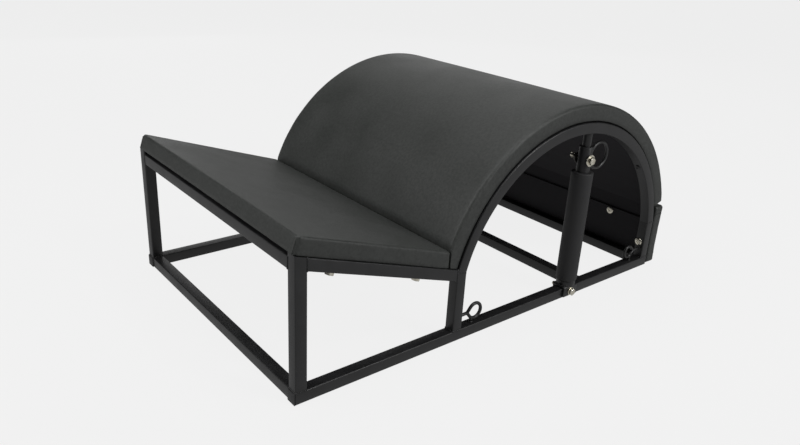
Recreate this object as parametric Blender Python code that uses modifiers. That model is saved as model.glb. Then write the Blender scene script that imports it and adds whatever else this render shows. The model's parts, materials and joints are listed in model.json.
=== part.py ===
"""Step barrel: a padded half barrel behind a sloping padded seat, on a square tube frame.

Units are metres and +Z is up. +X runs from the low front of the seat to the back of
the barrel, and -Y is the left side. Distances called "from the front" are measured
from the front faces of the front legs.
"""
import math

import bmesh
import bpy
from mathutils import Matrix, Vector

# Clearance left between two pieces that touch on the real object
FIT = 0.0003

# Frame, all of one square tube
TUBE = 0.020
TUBE_WALL = 0.0015
TUBE_CORNER = 0.0018
LEAST_BORE_CORNER = 0.0003
CORNER_STEPS = 2
WIDTH = 0.560
MIDDLE_BAR_FROM_FRONT = 0.646
SEAT_FRONT_HEIGHT = 0.240
SEAT_SLOPE = math.radians(18.54)

# Arch bows and the legs under them
ARCH_CENTRE_FROM_FRONT = 0.586
ARCH_CENTRE_HEIGHT = 0.059
ARCH_RADIUS = 0.288
ARCH_FRONT_ANGLE = math.radians(14.6)
ARCH_REAR_ANGLE = math.radians(8.4)
ARCH_STEPS = 34

# Plugs in the front ends of the base rails
PLUG_FLANGE = 0.002
PLUG_DEPTH = 0.014
PLUG_WALL = 0.0025

# Barrel: bent board on the bows, pad on the board
BARREL_BOARD = 0.006
BARREL_BOARD_INSET = 0.010
BARREL_PAD = 0.0219
BARREL_PAD_INSET = 0.004
BARREL_PAD_EDGE = 0.006
BARREL_PAD_END_EDGE = 0.002
BARREL_PAD_CROWN = 0.0012
BARREL_PAD_TAPER = 0.0012
BARREL_PAD_REAR_ANGLE = math.radians(15.0)
BARREL_OVER_SEAT_RAIL = 0.0012
BARREL_STEPS = 42
PAD_WIDTH_SHARES = (0.66, 0.33, 0.0, -0.33, -0.66)
UNDERSIDE_SHARES = (-0.5, 0.0, 0.5)
END_STEPS = 3

# Steps round a pad's edge and corners, and shares of its reach where its crown is shaped
EDGE_STEPS = 4
PAD_CORNER_STEPS = 3
PAD_SIDE_STEPS = 5
CROWN_SHARES = (0.25, 0.5, 0.75)

# Seat: board on the rails, pad wrapped over the board
SEAT_BOARD = 0.012
SEAT_PAD = 0.026
SEAT_PAD_INSET = 0.003
SEAT_PAD_LIFT = 0.0018
SEAT_PAD_EDGE = 0.005
SEAT_PAD_CORNER = 0.008
SEAT_PAD_HEM = 0.0008
SEAT_PAD_CROWN = 0.002
SEAT_PAD_DRAW = 0.0010
SEAT_COVER = 0.0012

# Pad across the back, on its own board, with a liner board between the rear legs
REAR_BOARD = 0.006
REAR_PAD = 0.0244
REAR_PAD_BOTTOM = 0.001
REAR_PAD_TOP = 0.130
REAR_PAD_INSET = 0.001
REAR_PAD_EDGE = 0.0035
REAR_PAD_CORNER = 0.006
REAR_PAD_HEM = 0.0015
REAR_PAD_CROWN = 0.0012
REAR_PAD_DRAW = 0.0012
REAR_BOARD_INSET = 0.010
LINER_BOARD = 0.004
LINER_TOP = 0.100
BOARD_EDGE = 0.001
LINER_EDGE = 0.0005

# Handle post in each side of the arch
HANDLE_FROM_FRONT = 0.6125
SPIGOT_RADIUS = 0.008
SPIGOT_LENGTH = 0.075
SPIGOT_SHOWS = 0.025
CORE_RADIUS = 0.0125
GRIP_RADIUS = 0.0202
GRIP_RUNNING = 0.0004
GRIP_EDGE = 0.0015
GRIP_BELOW_CORE_TOP = 0.048
TOP_BOLT_BELOW_CORE_TOP = 0.0243
RING_BELOW_CORE_TOP = 0.023
RING_RADIUS = 0.0245
RING_STEPS = 28

# Saddle bracket under each handle post
SADDLE_LENGTH = 0.038
SADDLE_PLATE = 0.004
SADDLE_BEND = 0.002
SADDLE_OVER_FLOOR = 0.003
SOCKET_WALL = 0.005
SOCKET_HEIGHT = 0.0104
FOOT_BOLT_HEIGHT = 0.0122

# Bent eyes beside the arch legs
EYE_FROM_LEG = 0.0383
EYE_POINT_FROM_LEG = 0.0203
EYE_HEIGHT = 0.040
FRONT_EYE_RADIUS = 0.014
REAR_EYE_RADIUS = 0.012
EYE_TAIL_OFFSET = 0.0075
EYE_STEPS = 16

# Round rod of the rings and the eyes
ROD_RADIUS = 0.003
ROD_SIDES = 8

# Fasteners: shank radius, then head width across flats or across the round
HOLE_CLEARANCE = 0.0003
HANDLE_BOLT_RADIUS = 0.004
HANDLE_BOLT_FLATS = 0.013
HANDLE_BOLT_HEAD = 0.0053
HANDLE_NUT_HEIGHT = 0.0065
TOP_BOLT_PAST_NUT = 0.0097
FOOT_BOLT_PAST_NUT = 0.006
HEX_CHAMFER = 0.001
TOP_WASHER_RADIUS = 0.011
FOOT_WASHER_RADIUS = 0.008
WASHER_THICKNESS = 0.0016
SEAT_BOLT_RADIUS = 0.004
SEAT_BOLT_FLATS = 0.013
SEAT_BOLT_HEAD = 0.0055
SEAT_BOLT_INTO_BOARD = 0.009
SEAT_BOLT_INBOARD = 0.0015
SEAT_BOLTS_FROM_FRONT = (0.070, 0.232)
BARREL_BOLT_RADIUS = 0.003
BARREL_BOLT_INTO_BOARD = 0.0045
BARREL_BOLT_ANGLES = (math.radians(40), math.radians(90), math.radians(140))
BOARD_SCREW_RADIUS = 0.0025
BOARD_SCREW_HEAD_RADIUS = 0.0083
BOARD_SCREW_HEAD = 0.0030
BOARD_SCREW_INTO_BOARD = 0.0045
BARREL_SCREW_ANGLES = (math.radians(151.5), math.radians(28.5))
BARREL_SCREW_SIDE = 0.077
LINER_SCREW_SIDE = 0.175
LINER_SCREW_BELOW_TOP = 0.009
REAR_BOLT_RADIUS = 0.003
REAR_BOLT_HEAD_RADIUS = 0.0083
REAR_BOLT_HEAD = 0.0035
REAR_BOLT_HEIGHT = 0.054
REAR_BOLT_INBOARD = 0.003
REAR_BOLT_INTO_BOARD = 0.0045

# Worked out from the sizes above
ARCH_TUBE_CENTRE = ARCH_RADIUS - TUBE / 2
ARCH_INNER = ARCH_RADIUS - TUBE
ARCH_LEG_CENTRE = ARCH_CENTRE_FROM_FRONT - ARCH_TUBE_CENTRE * math.cos(ARCH_FRONT_ANGLE)
REAR_LEG_CENTRE = ARCH_CENTRE_FROM_FRONT + ARCH_TUBE_CENTRE * math.cos(ARCH_REAR_ANGLE)
BASE_LENGTH = REAR_LEG_CENTRE + TUBE / 2
REAR_BOARD_FRONT = BASE_LENGTH + FIT
REAR_PAD_FRONT = REAR_BOARD_FRONT + REAR_BOARD + FIT
OVERALL_LENGTH = PLUG_FLANGE + REAR_PAD_FRONT + REAR_PAD
FRONT = PLUG_FLANGE - OVERALL_LENGTH / 2
SIDE = WIDTH / 2 - TUBE / 2
BETWEEN_RAILS = WIDTH / 2 - TUBE
ON_RAIL = TUBE + FIT
ARCH_CENTRE = Vector((FRONT + ARCH_CENTRE_FROM_FRONT, 0, ARCH_CENTRE_HEIGHT))
HANDLE_X = FRONT + HANDLE_FROM_FRONT
BOARD_INNER_RADIUS = ARCH_RADIUS + FIT
BOARD_OUTER_RADIUS = BOARD_INNER_RADIUS + BARREL_BOARD
PAD_INNER_RADIUS = BOARD_OUTER_RADIUS + FIT
PAD_OUTER_RADIUS = PAD_INNER_RADIUS + BARREL_PAD
BARREL_BOARD_REAR_ANGLE = math.acos(
    (REAR_BOARD_FRONT - FIT - ARCH_CENTRE_FROM_FRONT) / BOARD_OUTER_RADIUS)
SEAT_DOWN = Vector((math.cos(SEAT_SLOPE), 0, -math.sin(SEAT_SLOPE)))
SEAT_NORMAL = Vector((math.sin(SEAT_SLOPE), 0, math.cos(SEAT_SLOPE)))
SIDES = (("left", -1), ("right", 1))
ENDS = ("front", "rear")
ALONG = Vector((1, 0, 0))
ACROSS = Vector((0, 1, 0))
UP = Vector((0, 0, 1))

PARTS = bpy.data.collections.new("step_barrel")
CUTTERS = bpy.data.collections.new("cutters")


def clear_scene():
    for obj in list(bpy.data.objects):
        bpy.data.objects.remove(obj, do_unlink=True)
    for collection in (PARTS, CUTTERS):
        bpy.context.scene.collection.children.link(collection)


def material(name, colour, roughness, metallic):
    made = bpy.data.materials.new(name)
    made.use_nodes = True
    shader = made.node_tree.nodes["Principled BSDF"]
    shader.inputs["Base Color"].default_value = (*colour, 1)
    shader.inputs["Roughness"].default_value = roughness
    shader.inputs["Metallic"].default_value = metallic
    made.diffuse_color = (*colour, 1)
    return made


FRAME_PAINT = material("black_powder_coat", (0.030, 0.030, 0.031), 0.42, 0.0)
VINYL = material("charcoal_vinyl", (0.050, 0.053, 0.050), 0.52, 0.0)
PLYWOOD = material("black_plywood", (0.018, 0.016, 0.019), 0.60, 0.0)
GRIP_FOAM = material("grip_foam", (0.025, 0.025, 0.026), 0.75, 0.0)
BRIGHT_ZINC = material("bright_zinc", (0.72, 0.70, 0.66), 0.22, 1.0)
PLUG_PLASTIC = material("black_plastic", (0.022, 0.021, 0.023), 0.50, 0.0)


# Objects, modifiers and meshes


def add_object(name, mesh, finish=None, smooth=False):
    obj = bpy.data.objects.new(name, mesh)
    if finish is None:
        CUTTERS.objects.link(obj)
        obj.hide_render = True
        obj.display_type = "WIRE"
        return obj
    PARTS.objects.link(obj)
    mesh.materials.clear()
    mesh.materials.append(finish)
    if smooth:
        mesh.shade_smooth()
        mesh.set_sharp_from_angle(angle=math.radians(35))
    return obj


def mesh_from(bm, name):
    mesh = bpy.data.meshes.new(name)
    bmesh.ops.recalc_face_normals(bm, faces=bm.faces[:])
    bm.to_mesh(mesh)
    bm.free()
    return mesh


def add_bevel(obj, width, segments=2):
    bevel = obj.modifiers.new("rounded_edges", "BEVEL")
    bevel.width = width
    bevel.segments = segments
    bevel.limit_method = "ANGLE"
    bevel.angle_limit = math.radians(40)


def combine(obj, tool, operation):
    boolean = obj.modifiers.new(operation.lower(), "BOOLEAN")
    boolean.operation = operation
    boolean.solver = "EXACT"
    boolean.object = tool


def evaluated_copy(obj, name):
    """The mesh that an object shows, with its modifiers applied."""
    bpy.context.view_layer.update()
    depsgraph = bpy.context.evaluated_depsgraph_get()
    mesh = bpy.data.meshes.new_from_object(obj.evaluated_get(depsgraph))
    mesh.name = name
    return mesh


def frame_at(point, axis, across):
    """A matrix that puts the origin at a point, +Z along axis and +X along across."""
    z = axis.normalized()
    x = (across - z * across.dot(z)).normalized()
    y = z.cross(x)
    turn = Matrix((x, y, z)).transposed().to_4x4()
    return Matrix.Translation(point) @ turn


def cylinder_mesh(radius, low, high, segments=12):
    bm = bmesh.new()
    bmesh.ops.create_cone(
        bm, cap_ends=True, segments=segments, radius1=radius, radius2=radius,
        depth=high - low, matrix=Matrix.Translation((0, 0, (low + high) / 2)))
    return mesh_from(bm, "cylinder")


def hole(target, point, axis, radius, low, high, across=ACROSS, segments=12):
    """Cut a round hole along an axis, from low to high past the point."""
    cutter = add_object(target.name + "_hole", cylinder_mesh(radius, low, high, segments))
    cutter.matrix_world = frame_at(point, axis, across)
    combine(target, cutter, "DIFFERENCE")


def turned_mesh(profile, segments):
    """A closed solid turned about Z from a closed outline of (radius, height) points."""
    bm = bmesh.new()
    verts = [bm.verts.new((radius, 0, height)) for radius, height in profile]
    edges = [bm.edges.new((verts[i - 1], verts[i])) for i in range(len(verts))]
    bmesh.ops.spin(
        bm, geom=verts + edges, cent=(0, 0, 0), axis=(0, 0, 1),
        angle=math.tau, steps=segments, use_merge=True)
    bmesh.ops.remove_doubles(bm, verts=bm.verts[:], dist=0.00001)
    return mesh_from(bm, "turned")


def pipe_mesh(inner, outer, low, high, segments=24, edge=0.0005):
    """A round pipe or washer with its outer edges broken."""
    profile = [
        (inner, low), (outer - edge, low), (outer, low + edge),
        (outer, high - edge), (outer - edge, high), (inner, high)]
    return turned_mesh(profile, segments)


def box_object(name, low, high, finish, bevel=0.0):
    bm = bmesh.new()
    low = Vector(low)
    high = Vector(high)
    bmesh.ops.create_cube(bm, size=1)
    bmesh.ops.scale(bm, vec=high - low, verts=bm.verts[:])
    bmesh.ops.translate(bm, vec=(low + high) / 2, verts=bm.verts[:])
    obj = add_object(name, mesh_from(bm, name), finish)
    if bevel:
        add_bevel(obj, bevel)
    return obj


def rounded_square(width, corner):
    """Closed outline of a square with round corners, centred on the origin."""
    reach = width / 2 - corner
    points = []
    for quarter in range(4):
        middle = (quarter + 0.5) * math.pi / 2
        for step in range(CORNER_STEPS + 1):
            angle = (quarter + step / CORNER_STEPS) * math.pi / 2
            points.append((
                math.copysign(reach, math.cos(middle)) + corner * math.cos(angle),
                math.copysign(reach, math.sin(middle)) + corner * math.sin(angle)))
    return points


def tube_section(bm, place):
    """The cut end of the square tube, as faces between its outer and inner outlines."""
    outer = [bm.verts.new(place(a, b)) for a, b in rounded_square(TUBE, TUBE_CORNER)]
    bore_corner = max(TUBE_CORNER - TUBE_WALL, LEAST_BORE_CORNER)
    inner = [bm.verts.new(place(a, b)) for a, b in rounded_square(TUBE - 2 * TUBE_WALL, bore_corner)]
    for i in range(len(outer)):
        bm.faces.new((outer[i - 1], outer[i], inner[i], inner[i - 1]))


def square_tube(name, start, end, across, start_face=None, end_face=None):
    """An open-ended square tube between two points, its ends cut to the given faces."""
    start = Vector(start)
    end = Vector(end)
    along = (end - start).normalized()
    turn = frame_at(start, along, across)
    bm = bmesh.new()
    tube_section(bm, lambda a, b: turn @ Vector((a, b, 0)))
    lower = bm.verts[:]
    grown = bmesh.ops.extrude_face_region(bm, geom=bm.faces[:])["geom"]
    upper = [item for item in grown if isinstance(item, bmesh.types.BMVert)]
    for verts, point, face in ((lower, start, start_face), (upper, end, end_face)):
        normal = face or along
        for vert in verts:
            vert.co += along * ((point - vert.co).dot(normal) / along.dot(normal))
    return add_object(name, mesh_from(bm, name), FRAME_PAINT, smooth=True)


def placed(name, mesh, place, finish):
    """An object that shares a repeated piece's mesh."""
    obj = add_object(name, mesh, finish, smooth=True)
    obj.matrix_world = place
    return obj


def loft(name, rings, finish):
    """A closed solid through rings with the same number of points, capped at both ends."""
    bm = bmesh.new()
    loops = [[bm.verts.new(point) for point in ring] for ring in rings]
    for first, second in zip(loops, loops[1:]):
        for i in range(len(first)):
            bm.faces.new((first[i - 1], first[i], second[i], second[i - 1]))
    bm.faces.new(loops[0])
    bm.faces.new(loops[-1])
    return add_object(name, mesh_from(bm, name), finish, smooth=True)


# Places on the arch and the seat


def arch_direction(angle):
    """Outward direction on the arch; the angle starts at the rear and rises to the front."""
    return Vector((math.cos(angle), 0, math.sin(angle)))


def arch_point(radius, angle, y=0.0):
    return ARCH_CENTRE + arch_direction(angle) * radius + Vector((0, y, 0))


def seat_height(from_front):
    """Height of the seat rails' top plane."""
    return SEAT_FRONT_HEIGHT - from_front * math.tan(SEAT_SLOPE)


def seat_point(from_front, y=0.0, lift=0.0):
    """A point on the seat rails' top plane, lifted square to it."""
    return Vector((FRONT + from_front, y, seat_height(from_front))) + SEAT_NORMAL * lift


def seat_meets_barrel():
    """Distance from the front where the top of the seat pad meets the barrel pad."""
    slope = math.tan(SEAT_SLOPE)
    rise = seat_height(0) + SEAT_PAD / math.cos(SEAT_SLOPE) - ARCH_CENTRE_HEIGHT
    a = 1 + slope ** 2
    b = -2 * (ARCH_CENTRE_FROM_FRONT + slope * rise)
    c = ARCH_CENTRE_FROM_FRONT ** 2 + rise ** 2 - PAD_OUTER_RADIUS ** 2
    return (-b - math.sqrt(b ** 2 - 4 * a * c)) / (2 * a)


SEAT_REAR = seat_meets_barrel()
BARREL_FLAT = SEAT_REAR + FIT
BARREL_FRONT_ANGLE = math.pi - math.atan(
    (seat_height(BARREL_FLAT) + BARREL_OVER_SEAT_RAIL - ARCH_CENTRE_HEIGHT)
    / (ARCH_CENTRE_FROM_FRONT - BARREL_FLAT))


def arch_underside(from_front):
    """Lowest height of the bow's underside at a distance from the front."""
    reach = from_front - ARCH_CENTRE_FROM_FRONT
    return ARCH_CENTRE_HEIGHT + math.sqrt(ARCH_INNER ** 2 - reach ** 2)


CORE_TOP = arch_underside(HANDLE_FROM_FRONT) - SPIGOT_SHOWS
TOP_BOLT_HEIGHT = CORE_TOP - TOP_BOLT_BELOW_CORE_TOP
WEB_TOP = ON_RAIL + SADDLE_PLATE
SOCKET_TOP = WEB_TOP + SOCKET_HEIGHT


# Base


def make_base():
    holes = HANDLE_BOLT_RADIUS + HOLE_CLEARANCE
    for side, sign in SIDES:
        rail = square_tube(
            "base_rail_" + side,
            (FRONT + FIT, sign * SIDE, TUBE / 2),
            (FRONT + BASE_LENGTH, sign * SIDE, TUBE / 2),
            ACROSS)
        hole(rail, Vector((HANDLE_X, sign * SIDE, FOOT_BOLT_HEIGHT)),
             ACROSS, holes, -TUBE, TUBE, ALONG)
    bars = (
        ("base_front_bar", TUBE / 2),
        ("base_middle_bar", MIDDLE_BAR_FROM_FRONT + TUBE / 2),
        ("base_rear_bar", REAR_LEG_CENTRE))
    for name, from_front in bars:
        cross_bar(name, from_front, TUBE / 2)
    make_end_plugs()


def cross_bar(name, from_front, height):
    reach = BETWEEN_RAILS - FIT
    square_tube(
        name, (FRONT + from_front, -reach, height), (FRONT + from_front, reach, height),
        ALONG)


def make_end_plugs():
    """Plastic plugs: a flange over the tube's end and a hollow tail inside its bore."""
    tail = TUBE / 2 - TUBE_WALL - FIT
    bm = bmesh.new()
    bmesh.ops.create_cube(bm, size=1)
    bmesh.ops.scale(bm, vec=(TUBE, TUBE, PLUG_FLANGE), verts=bm.verts[:])
    bmesh.ops.translate(bm, vec=(0, 0, PLUG_FLANGE / 2), verts=bm.verts[:])
    top = next(face for face in bm.faces if face.normal.z > 0.5)
    bmesh.ops.inset_region(bm, faces=[top], thickness=TUBE / 2 - tail, use_even_offset=True)
    tail_end = bmesh.ops.extrude_face_region(bm, geom=[top])["geom"]
    bmesh.ops.delete(bm, geom=[top], context="FACES_ONLY")
    bmesh.ops.translate(
        bm, vec=(0, 0, PLUG_DEPTH),
        verts=[item for item in tail_end if isinstance(item, bmesh.types.BMVert)])
    rim = next(item for item in tail_end if isinstance(item, bmesh.types.BMFace))
    bmesh.ops.inset_region(bm, faces=[rim], thickness=PLUG_WALL, use_even_offset=True)
    pocket = bmesh.ops.extrude_face_region(bm, geom=[rim])["geom"]
    bmesh.ops.delete(bm, geom=[rim], context="FACES_ONLY")
    bmesh.ops.translate(
        bm, vec=(0, 0, -PLUG_DEPTH),
        verts=[item for item in pocket if isinstance(item, bmesh.types.BMVert)])
    plug = mesh_from(bm, "end_plug")
    for side, sign in SIDES:
        face = Vector((FRONT - PLUG_FLANGE, sign * SIDE, TUBE / 2))
        placed("end_plug_" + side, plug, frame_at(face, ALONG, ACROSS), PLUG_PLASTIC)


# Legs, seat rails and bows


def make_uprights():
    for side, sign in SIDES:
        y = sign * SIDE
        square_tube(
            "front_leg_" + side, (FRONT + TUBE / 2, y, ON_RAIL),
            (FRONT + TUBE / 2, y, seat_height(TUBE / 2)), ACROSS, end_face=SEAT_NORMAL)
        rail_start = TUBE + FIT
        rail_end = ARCH_LEG_CENTRE - TUBE / 2 - FIT
        drop = TUBE / 2 / math.cos(SEAT_SLOPE)
        rail = square_tube(
            "seat_rail_" + side,
            (FRONT + rail_start, y, seat_height(rail_start) - drop),
            (FRONT + rail_end, y, seat_height(rail_end) - drop), ACROSS,
            start_face=ALONG, end_face=ALONG)
        for from_front in SEAT_BOLTS_FROM_FRONT:
            hole(rail, seat_point(from_front, seat_bolt_y(sign)), SEAT_NORMAL,
                 SEAT_BOLT_RADIUS + HOLE_CLEARANCE, -2 * TUBE, TUBE)
        top = arch_direction(math.pi - ARCH_FRONT_ANGLE)
        foot = Vector((FRONT + ARCH_LEG_CENTRE, y, ON_RAIL))
        square_tube("arch_leg_" + side, foot, leg_top(foot, top), ACROSS, end_face=bow_end(top))
        top = arch_direction(ARCH_REAR_ANGLE)
        foot = Vector((FRONT + REAR_LEG_CENTRE, y, ON_RAIL))
        leg = square_tube(
            "rear_leg_" + side, foot, leg_top(foot, top), ACROSS, end_face=bow_end(top))
        hole(leg, Vector((FRONT + REAR_LEG_CENTRE, rear_bolt_y(sign), REAR_BOLT_HEIGHT)),
             ALONG, REAR_BOLT_RADIUS + HOLE_CLEARANCE, -TUBE, TUBE)
    cross_bar("seat_front_bar", TUBE / 2, seat_height(TUBE) - TUBE / 2)


def bow_end(outward):
    """Direction of the bow's tube where it ends, square to the outward direction."""
    return Vector((-outward.z, 0, outward.x))


def leg_top(foot, outward):
    """Top of a leg's centreline, a fit below the bow's end face."""
    normal = bow_end(outward)
    point = ARCH_CENTRE - normal * math.copysign(FIT, normal.z)
    height = point.z - (foot.x - point.x) * normal.x / normal.z
    return Vector((foot.x, foot.y, height))


def seat_bolt_y(sign):
    return sign * (SIDE - SEAT_BOLT_INBOARD)


def rear_bolt_y(sign):
    return sign * (SIDE - REAR_BOLT_INBOARD)


def arc_sweep(bm, start, end, steps):
    """Sweep the faces in a mesh round the arch into a closed solid."""
    bmesh.ops.spin(
        bm, geom=bm.verts[:] + bm.edges[:] + bm.faces[:], cent=ARCH_CENTRE, axis=(0, -1, 0),
        angle=end - start, steps=steps)


def make_bows():
    for side, sign in SIDES:
        bm = bmesh.new()
        y = sign * SIDE
        tube_section(bm, lambda a, b: arch_point(ARCH_TUBE_CENTRE + a, ARCH_REAR_ANGLE, y + b))
        arc_sweep(bm, ARCH_REAR_ANGLE, math.pi - ARCH_FRONT_ANGLE, ARCH_STEPS)
        name = "arch_bow_" + side
        bow = add_object(name, mesh_from(bm, name), FRAME_PAINT, smooth=True)
        for angle in BARREL_BOLT_ANGLES:
            hole(bow, arch_point(ARCH_TUBE_CENTRE, angle, y), arch_direction(angle),
                 BARREL_BOLT_RADIUS + HOLE_CLEARANCE, -TUBE, TUBE)


# Barrel


def make_barrel_board():
    half = WIDTH / 2 - BARREL_BOARD_INSET
    outline = (
        (BOARD_INNER_RADIUS, -half), (BOARD_OUTER_RADIUS, -half),
        (BOARD_OUTER_RADIUS, half), (BOARD_INNER_RADIUS, half))
    bm = bmesh.new()
    start = BARREL_BOARD_REAR_ANGLE
    bm.faces.new([bm.verts.new(arch_point(radius, start, y)) for radius, y in outline])
    arc_sweep(bm, start, BARREL_FRONT_ANGLE, BARREL_STEPS)
    board = add_object("barrel_board", mesh_from(bm, "barrel_board"), PLYWOOD, smooth=True)
    for _, sign in SIDES:
        for angle in BARREL_BOLT_ANGLES:
            hole(board, arch_point(BOARD_INNER_RADIUS, angle, sign * SIDE), arch_direction(angle),
                 BARREL_BOLT_RADIUS + HOLE_CLEARANCE, -TUBE / 2,
                 BARREL_BOLT_INTO_BOARD + HOLE_CLEARANCE)
        for angle in BARREL_SCREW_ANGLES:
            hole(board, arch_point(BOARD_INNER_RADIUS, angle, sign * BARREL_SCREW_SIDE),
                 arch_direction(angle), BOARD_SCREW_RADIUS + HOLE_CLEARANCE, -TUBE / 2,
                 BOARD_SCREW_INTO_BOARD + HOLE_CLEARANCE)


def barrel_pad_section(shrink):
    """Cross-section of the barrel pad as (radius, y) points, drawn in by shrink at the ends."""
    half = WIDTH / 2 - BARREL_PAD_INSET
    side = half - shrink / 2
    shoulder = PAD_OUTER_RADIUS - BARREL_PAD_CROWN - shrink
    edge = BARREL_PAD_EDGE
    points = [(PAD_INNER_RADIUS, share * side) for share in UNDERSIDE_SHARES]
    points.append((PAD_INNER_RADIUS, side - BARREL_PAD_TAPER))
    arc = [math.pi / 2 * step / EDGE_STEPS for step in range(EDGE_STEPS + 1)]
    rounding = [(shoulder - edge + edge * math.sin(a), side - edge + edge * math.cos(a)) for a in arc]
    points.append((PAD_INNER_RADIUS + BARREL_PAD_TAPER, side))
    points += rounding
    flat = side - edge
    for share in PAD_WIDTH_SHARES:
        points.append((shoulder + BARREL_PAD_CROWN * (1 - share ** 2), share * flat))
    points += [(radius, -y) for radius, y in reversed(rounding)]
    points.append((PAD_INNER_RADIUS + BARREL_PAD_TAPER, -side))
    points.append((PAD_INNER_RADIUS, BARREL_PAD_TAPER - side))
    return points


def make_barrel_pad():
    """The pad follows the board, and its front end lies flat against the seat pad."""
    start = BARREL_PAD_REAR_ANGLE
    span = BARREL_FRONT_ANGLE - start
    stations = []
    for step in range(END_STEPS + 1):
        turn = math.pi / 2 * step / END_STEPS
        back = BARREL_PAD_END_EDGE * (1 - math.sin(turn)) / PAD_OUTER_RADIUS
        draw = BARREL_PAD_END_EDGE * (1 - math.cos(turn))
        stations.append((back, draw))
    rings = [(start + back, draw) for back, draw in reversed(stations)]
    inner_span = span - 2 * stations[0][0]
    rings += [
        (start + stations[0][0] + inner_span * step / BARREL_STEPS, 0.0)
        for step in range(1, BARREL_STEPS)]
    rings += [(BARREL_FRONT_ANGLE - back, draw) for back, draw in stations]
    flat = FRONT + BARREL_FLAT
    loops = []
    for angle, draw in rings:
        points = [arch_point(radius, angle, y) for radius, y in barrel_pad_section(draw)]
        loops.append([Vector((max(point.x, flat), point.y, point.z)) for point in points])
    loft("barrel_pad", loops, VINYL)


# Flat pads


def rounded_rectangle(half_x, half_y, corner, draw):
    """Points round a rectangle whose sides pull in by draw between its round corners."""
    points = []
    for quarter in range(4):
        sign_x = (1, -1, -1, 1)[quarter]
        sign_y = (1, 1, -1, -1)[quarter]
        for step in range(PAD_CORNER_STEPS + 1):
            angle = (quarter + step / PAD_CORNER_STEPS) * math.pi / 2
            x = sign_x * (half_x - corner) + corner * math.cos(angle)
            y = sign_y * (half_y - corner) + corner * math.sin(angle)
            points.append([x, y])
        for step in range(1, PAD_SIDE_STEPS):
            share = 1 - 2 * step / PAD_SIDE_STEPS
            if quarter % 2 == 0:
                points.append([sign_x * share * (half_x - corner), sign_y * half_y])
            else:
                points.append([sign_x * half_x, sign_y * share * (half_y - corner)])
    for point in points:
        share_x = point[0] / half_x
        share_y = point[1] / half_y
        point[0] = share_x * (half_x - draw * (1 - share_y ** 2))
        point[1] = share_y * (half_y - draw * (1 - share_x ** 2))
    return points


def pad_rings(half_x, half_y, thickness, edge, crown, draw, corner, hem):
    """Rings of a crowned pad in its own frame, from its underside to the top of its crown."""
    levels = [(hem, 0.0), (0.0, hem)]
    for step in range(EDGE_STEPS + 1):
        turn = math.pi / 2 * step / EDGE_STEPS
        levels.append((edge * (1 - math.cos(turn)), thickness - crown - edge * (1 - math.sin(turn))))
    reach = min(half_x, half_y)
    for share in CROWN_SHARES:
        inset = edge + share * (reach - edge)
        levels.append((inset, thickness - crown * (1 - share) ** 2))
    rings = []
    for inset, height in levels:
        pull = draw * (1 - inset / reach)
        outline = rounded_rectangle(half_x - inset, half_y - inset, max(corner - inset, corner / 3), pull)
        rings.append([(x, y, height) for x, y in outline])
    top = rings[-1]
    rings[-1] = [(x, y, thickness) for x, y, _ in top]
    return rings


# Seat


def make_seat():
    around = SEAT_PAD_DRAW + SEAT_COVER + FIT
    board_front = around
    down = seat_length()
    board_rear = down - (SEAT_BOARD + FIT) * math.tan(SEAT_SLOPE) - around
    half = WIDTH / 2 - SEAT_PAD_INSET - around
    place = frame_at(seat_point(0), SEAT_NORMAL, SEAT_DOWN)
    board = box_object(
        "seat_board", (board_front, -half, FIT), (board_rear, half, FIT + SEAT_BOARD), PLYWOOD,
        BOARD_EDGE)
    board.matrix_world = place
    for _, sign in SIDES:
        for from_front in SEAT_BOLTS_FROM_FRONT:
            hole(board, seat_point(from_front, seat_bolt_y(sign)), SEAT_NORMAL,
                 SEAT_BOLT_RADIUS + HOLE_CLEARANCE, -TUBE / 2,
                 FIT + SEAT_BOLT_INTO_BOARD + HOLE_CLEARANCE)
    half_x = down / 2
    half_y = WIDTH / 2 - SEAT_PAD_INSET
    lift = SEAT_PAD_LIFT
    rings = pad_rings(
        half_x, half_y, SEAT_PAD - lift, SEAT_PAD_EDGE, SEAT_PAD_CROWN, SEAT_PAD_DRAW,
        SEAT_PAD_CORNER, SEAT_PAD_HEM)
    lean = math.tan(SEAT_SLOPE)
    placed = []
    for ring in rings:
        placed.append([])
        for x, y, height in ring:
            height += lift
            from_front = (x + half_x) * (1 - height * lean / down)
            placed[-1].append(place @ Vector((from_front, y, height)))
    pad = loft("seat_pad", placed, VINYL)
    pocket = box_object(
        "seat_pocket", (board_front - FIT, -half - FIT, -SEAT_PAD_LIFT),
        (board_rear + FIT, half + FIT, SEAT_BOARD + 2 * FIT), None)
    pocket.matrix_world = place
    combine(pad, pocket, "DIFFERENCE")


def seat_length():
    """Length of the seat pad's underside, down the slope."""
    return SEAT_REAR / math.cos(SEAT_SLOPE)


# Pad across the back


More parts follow.
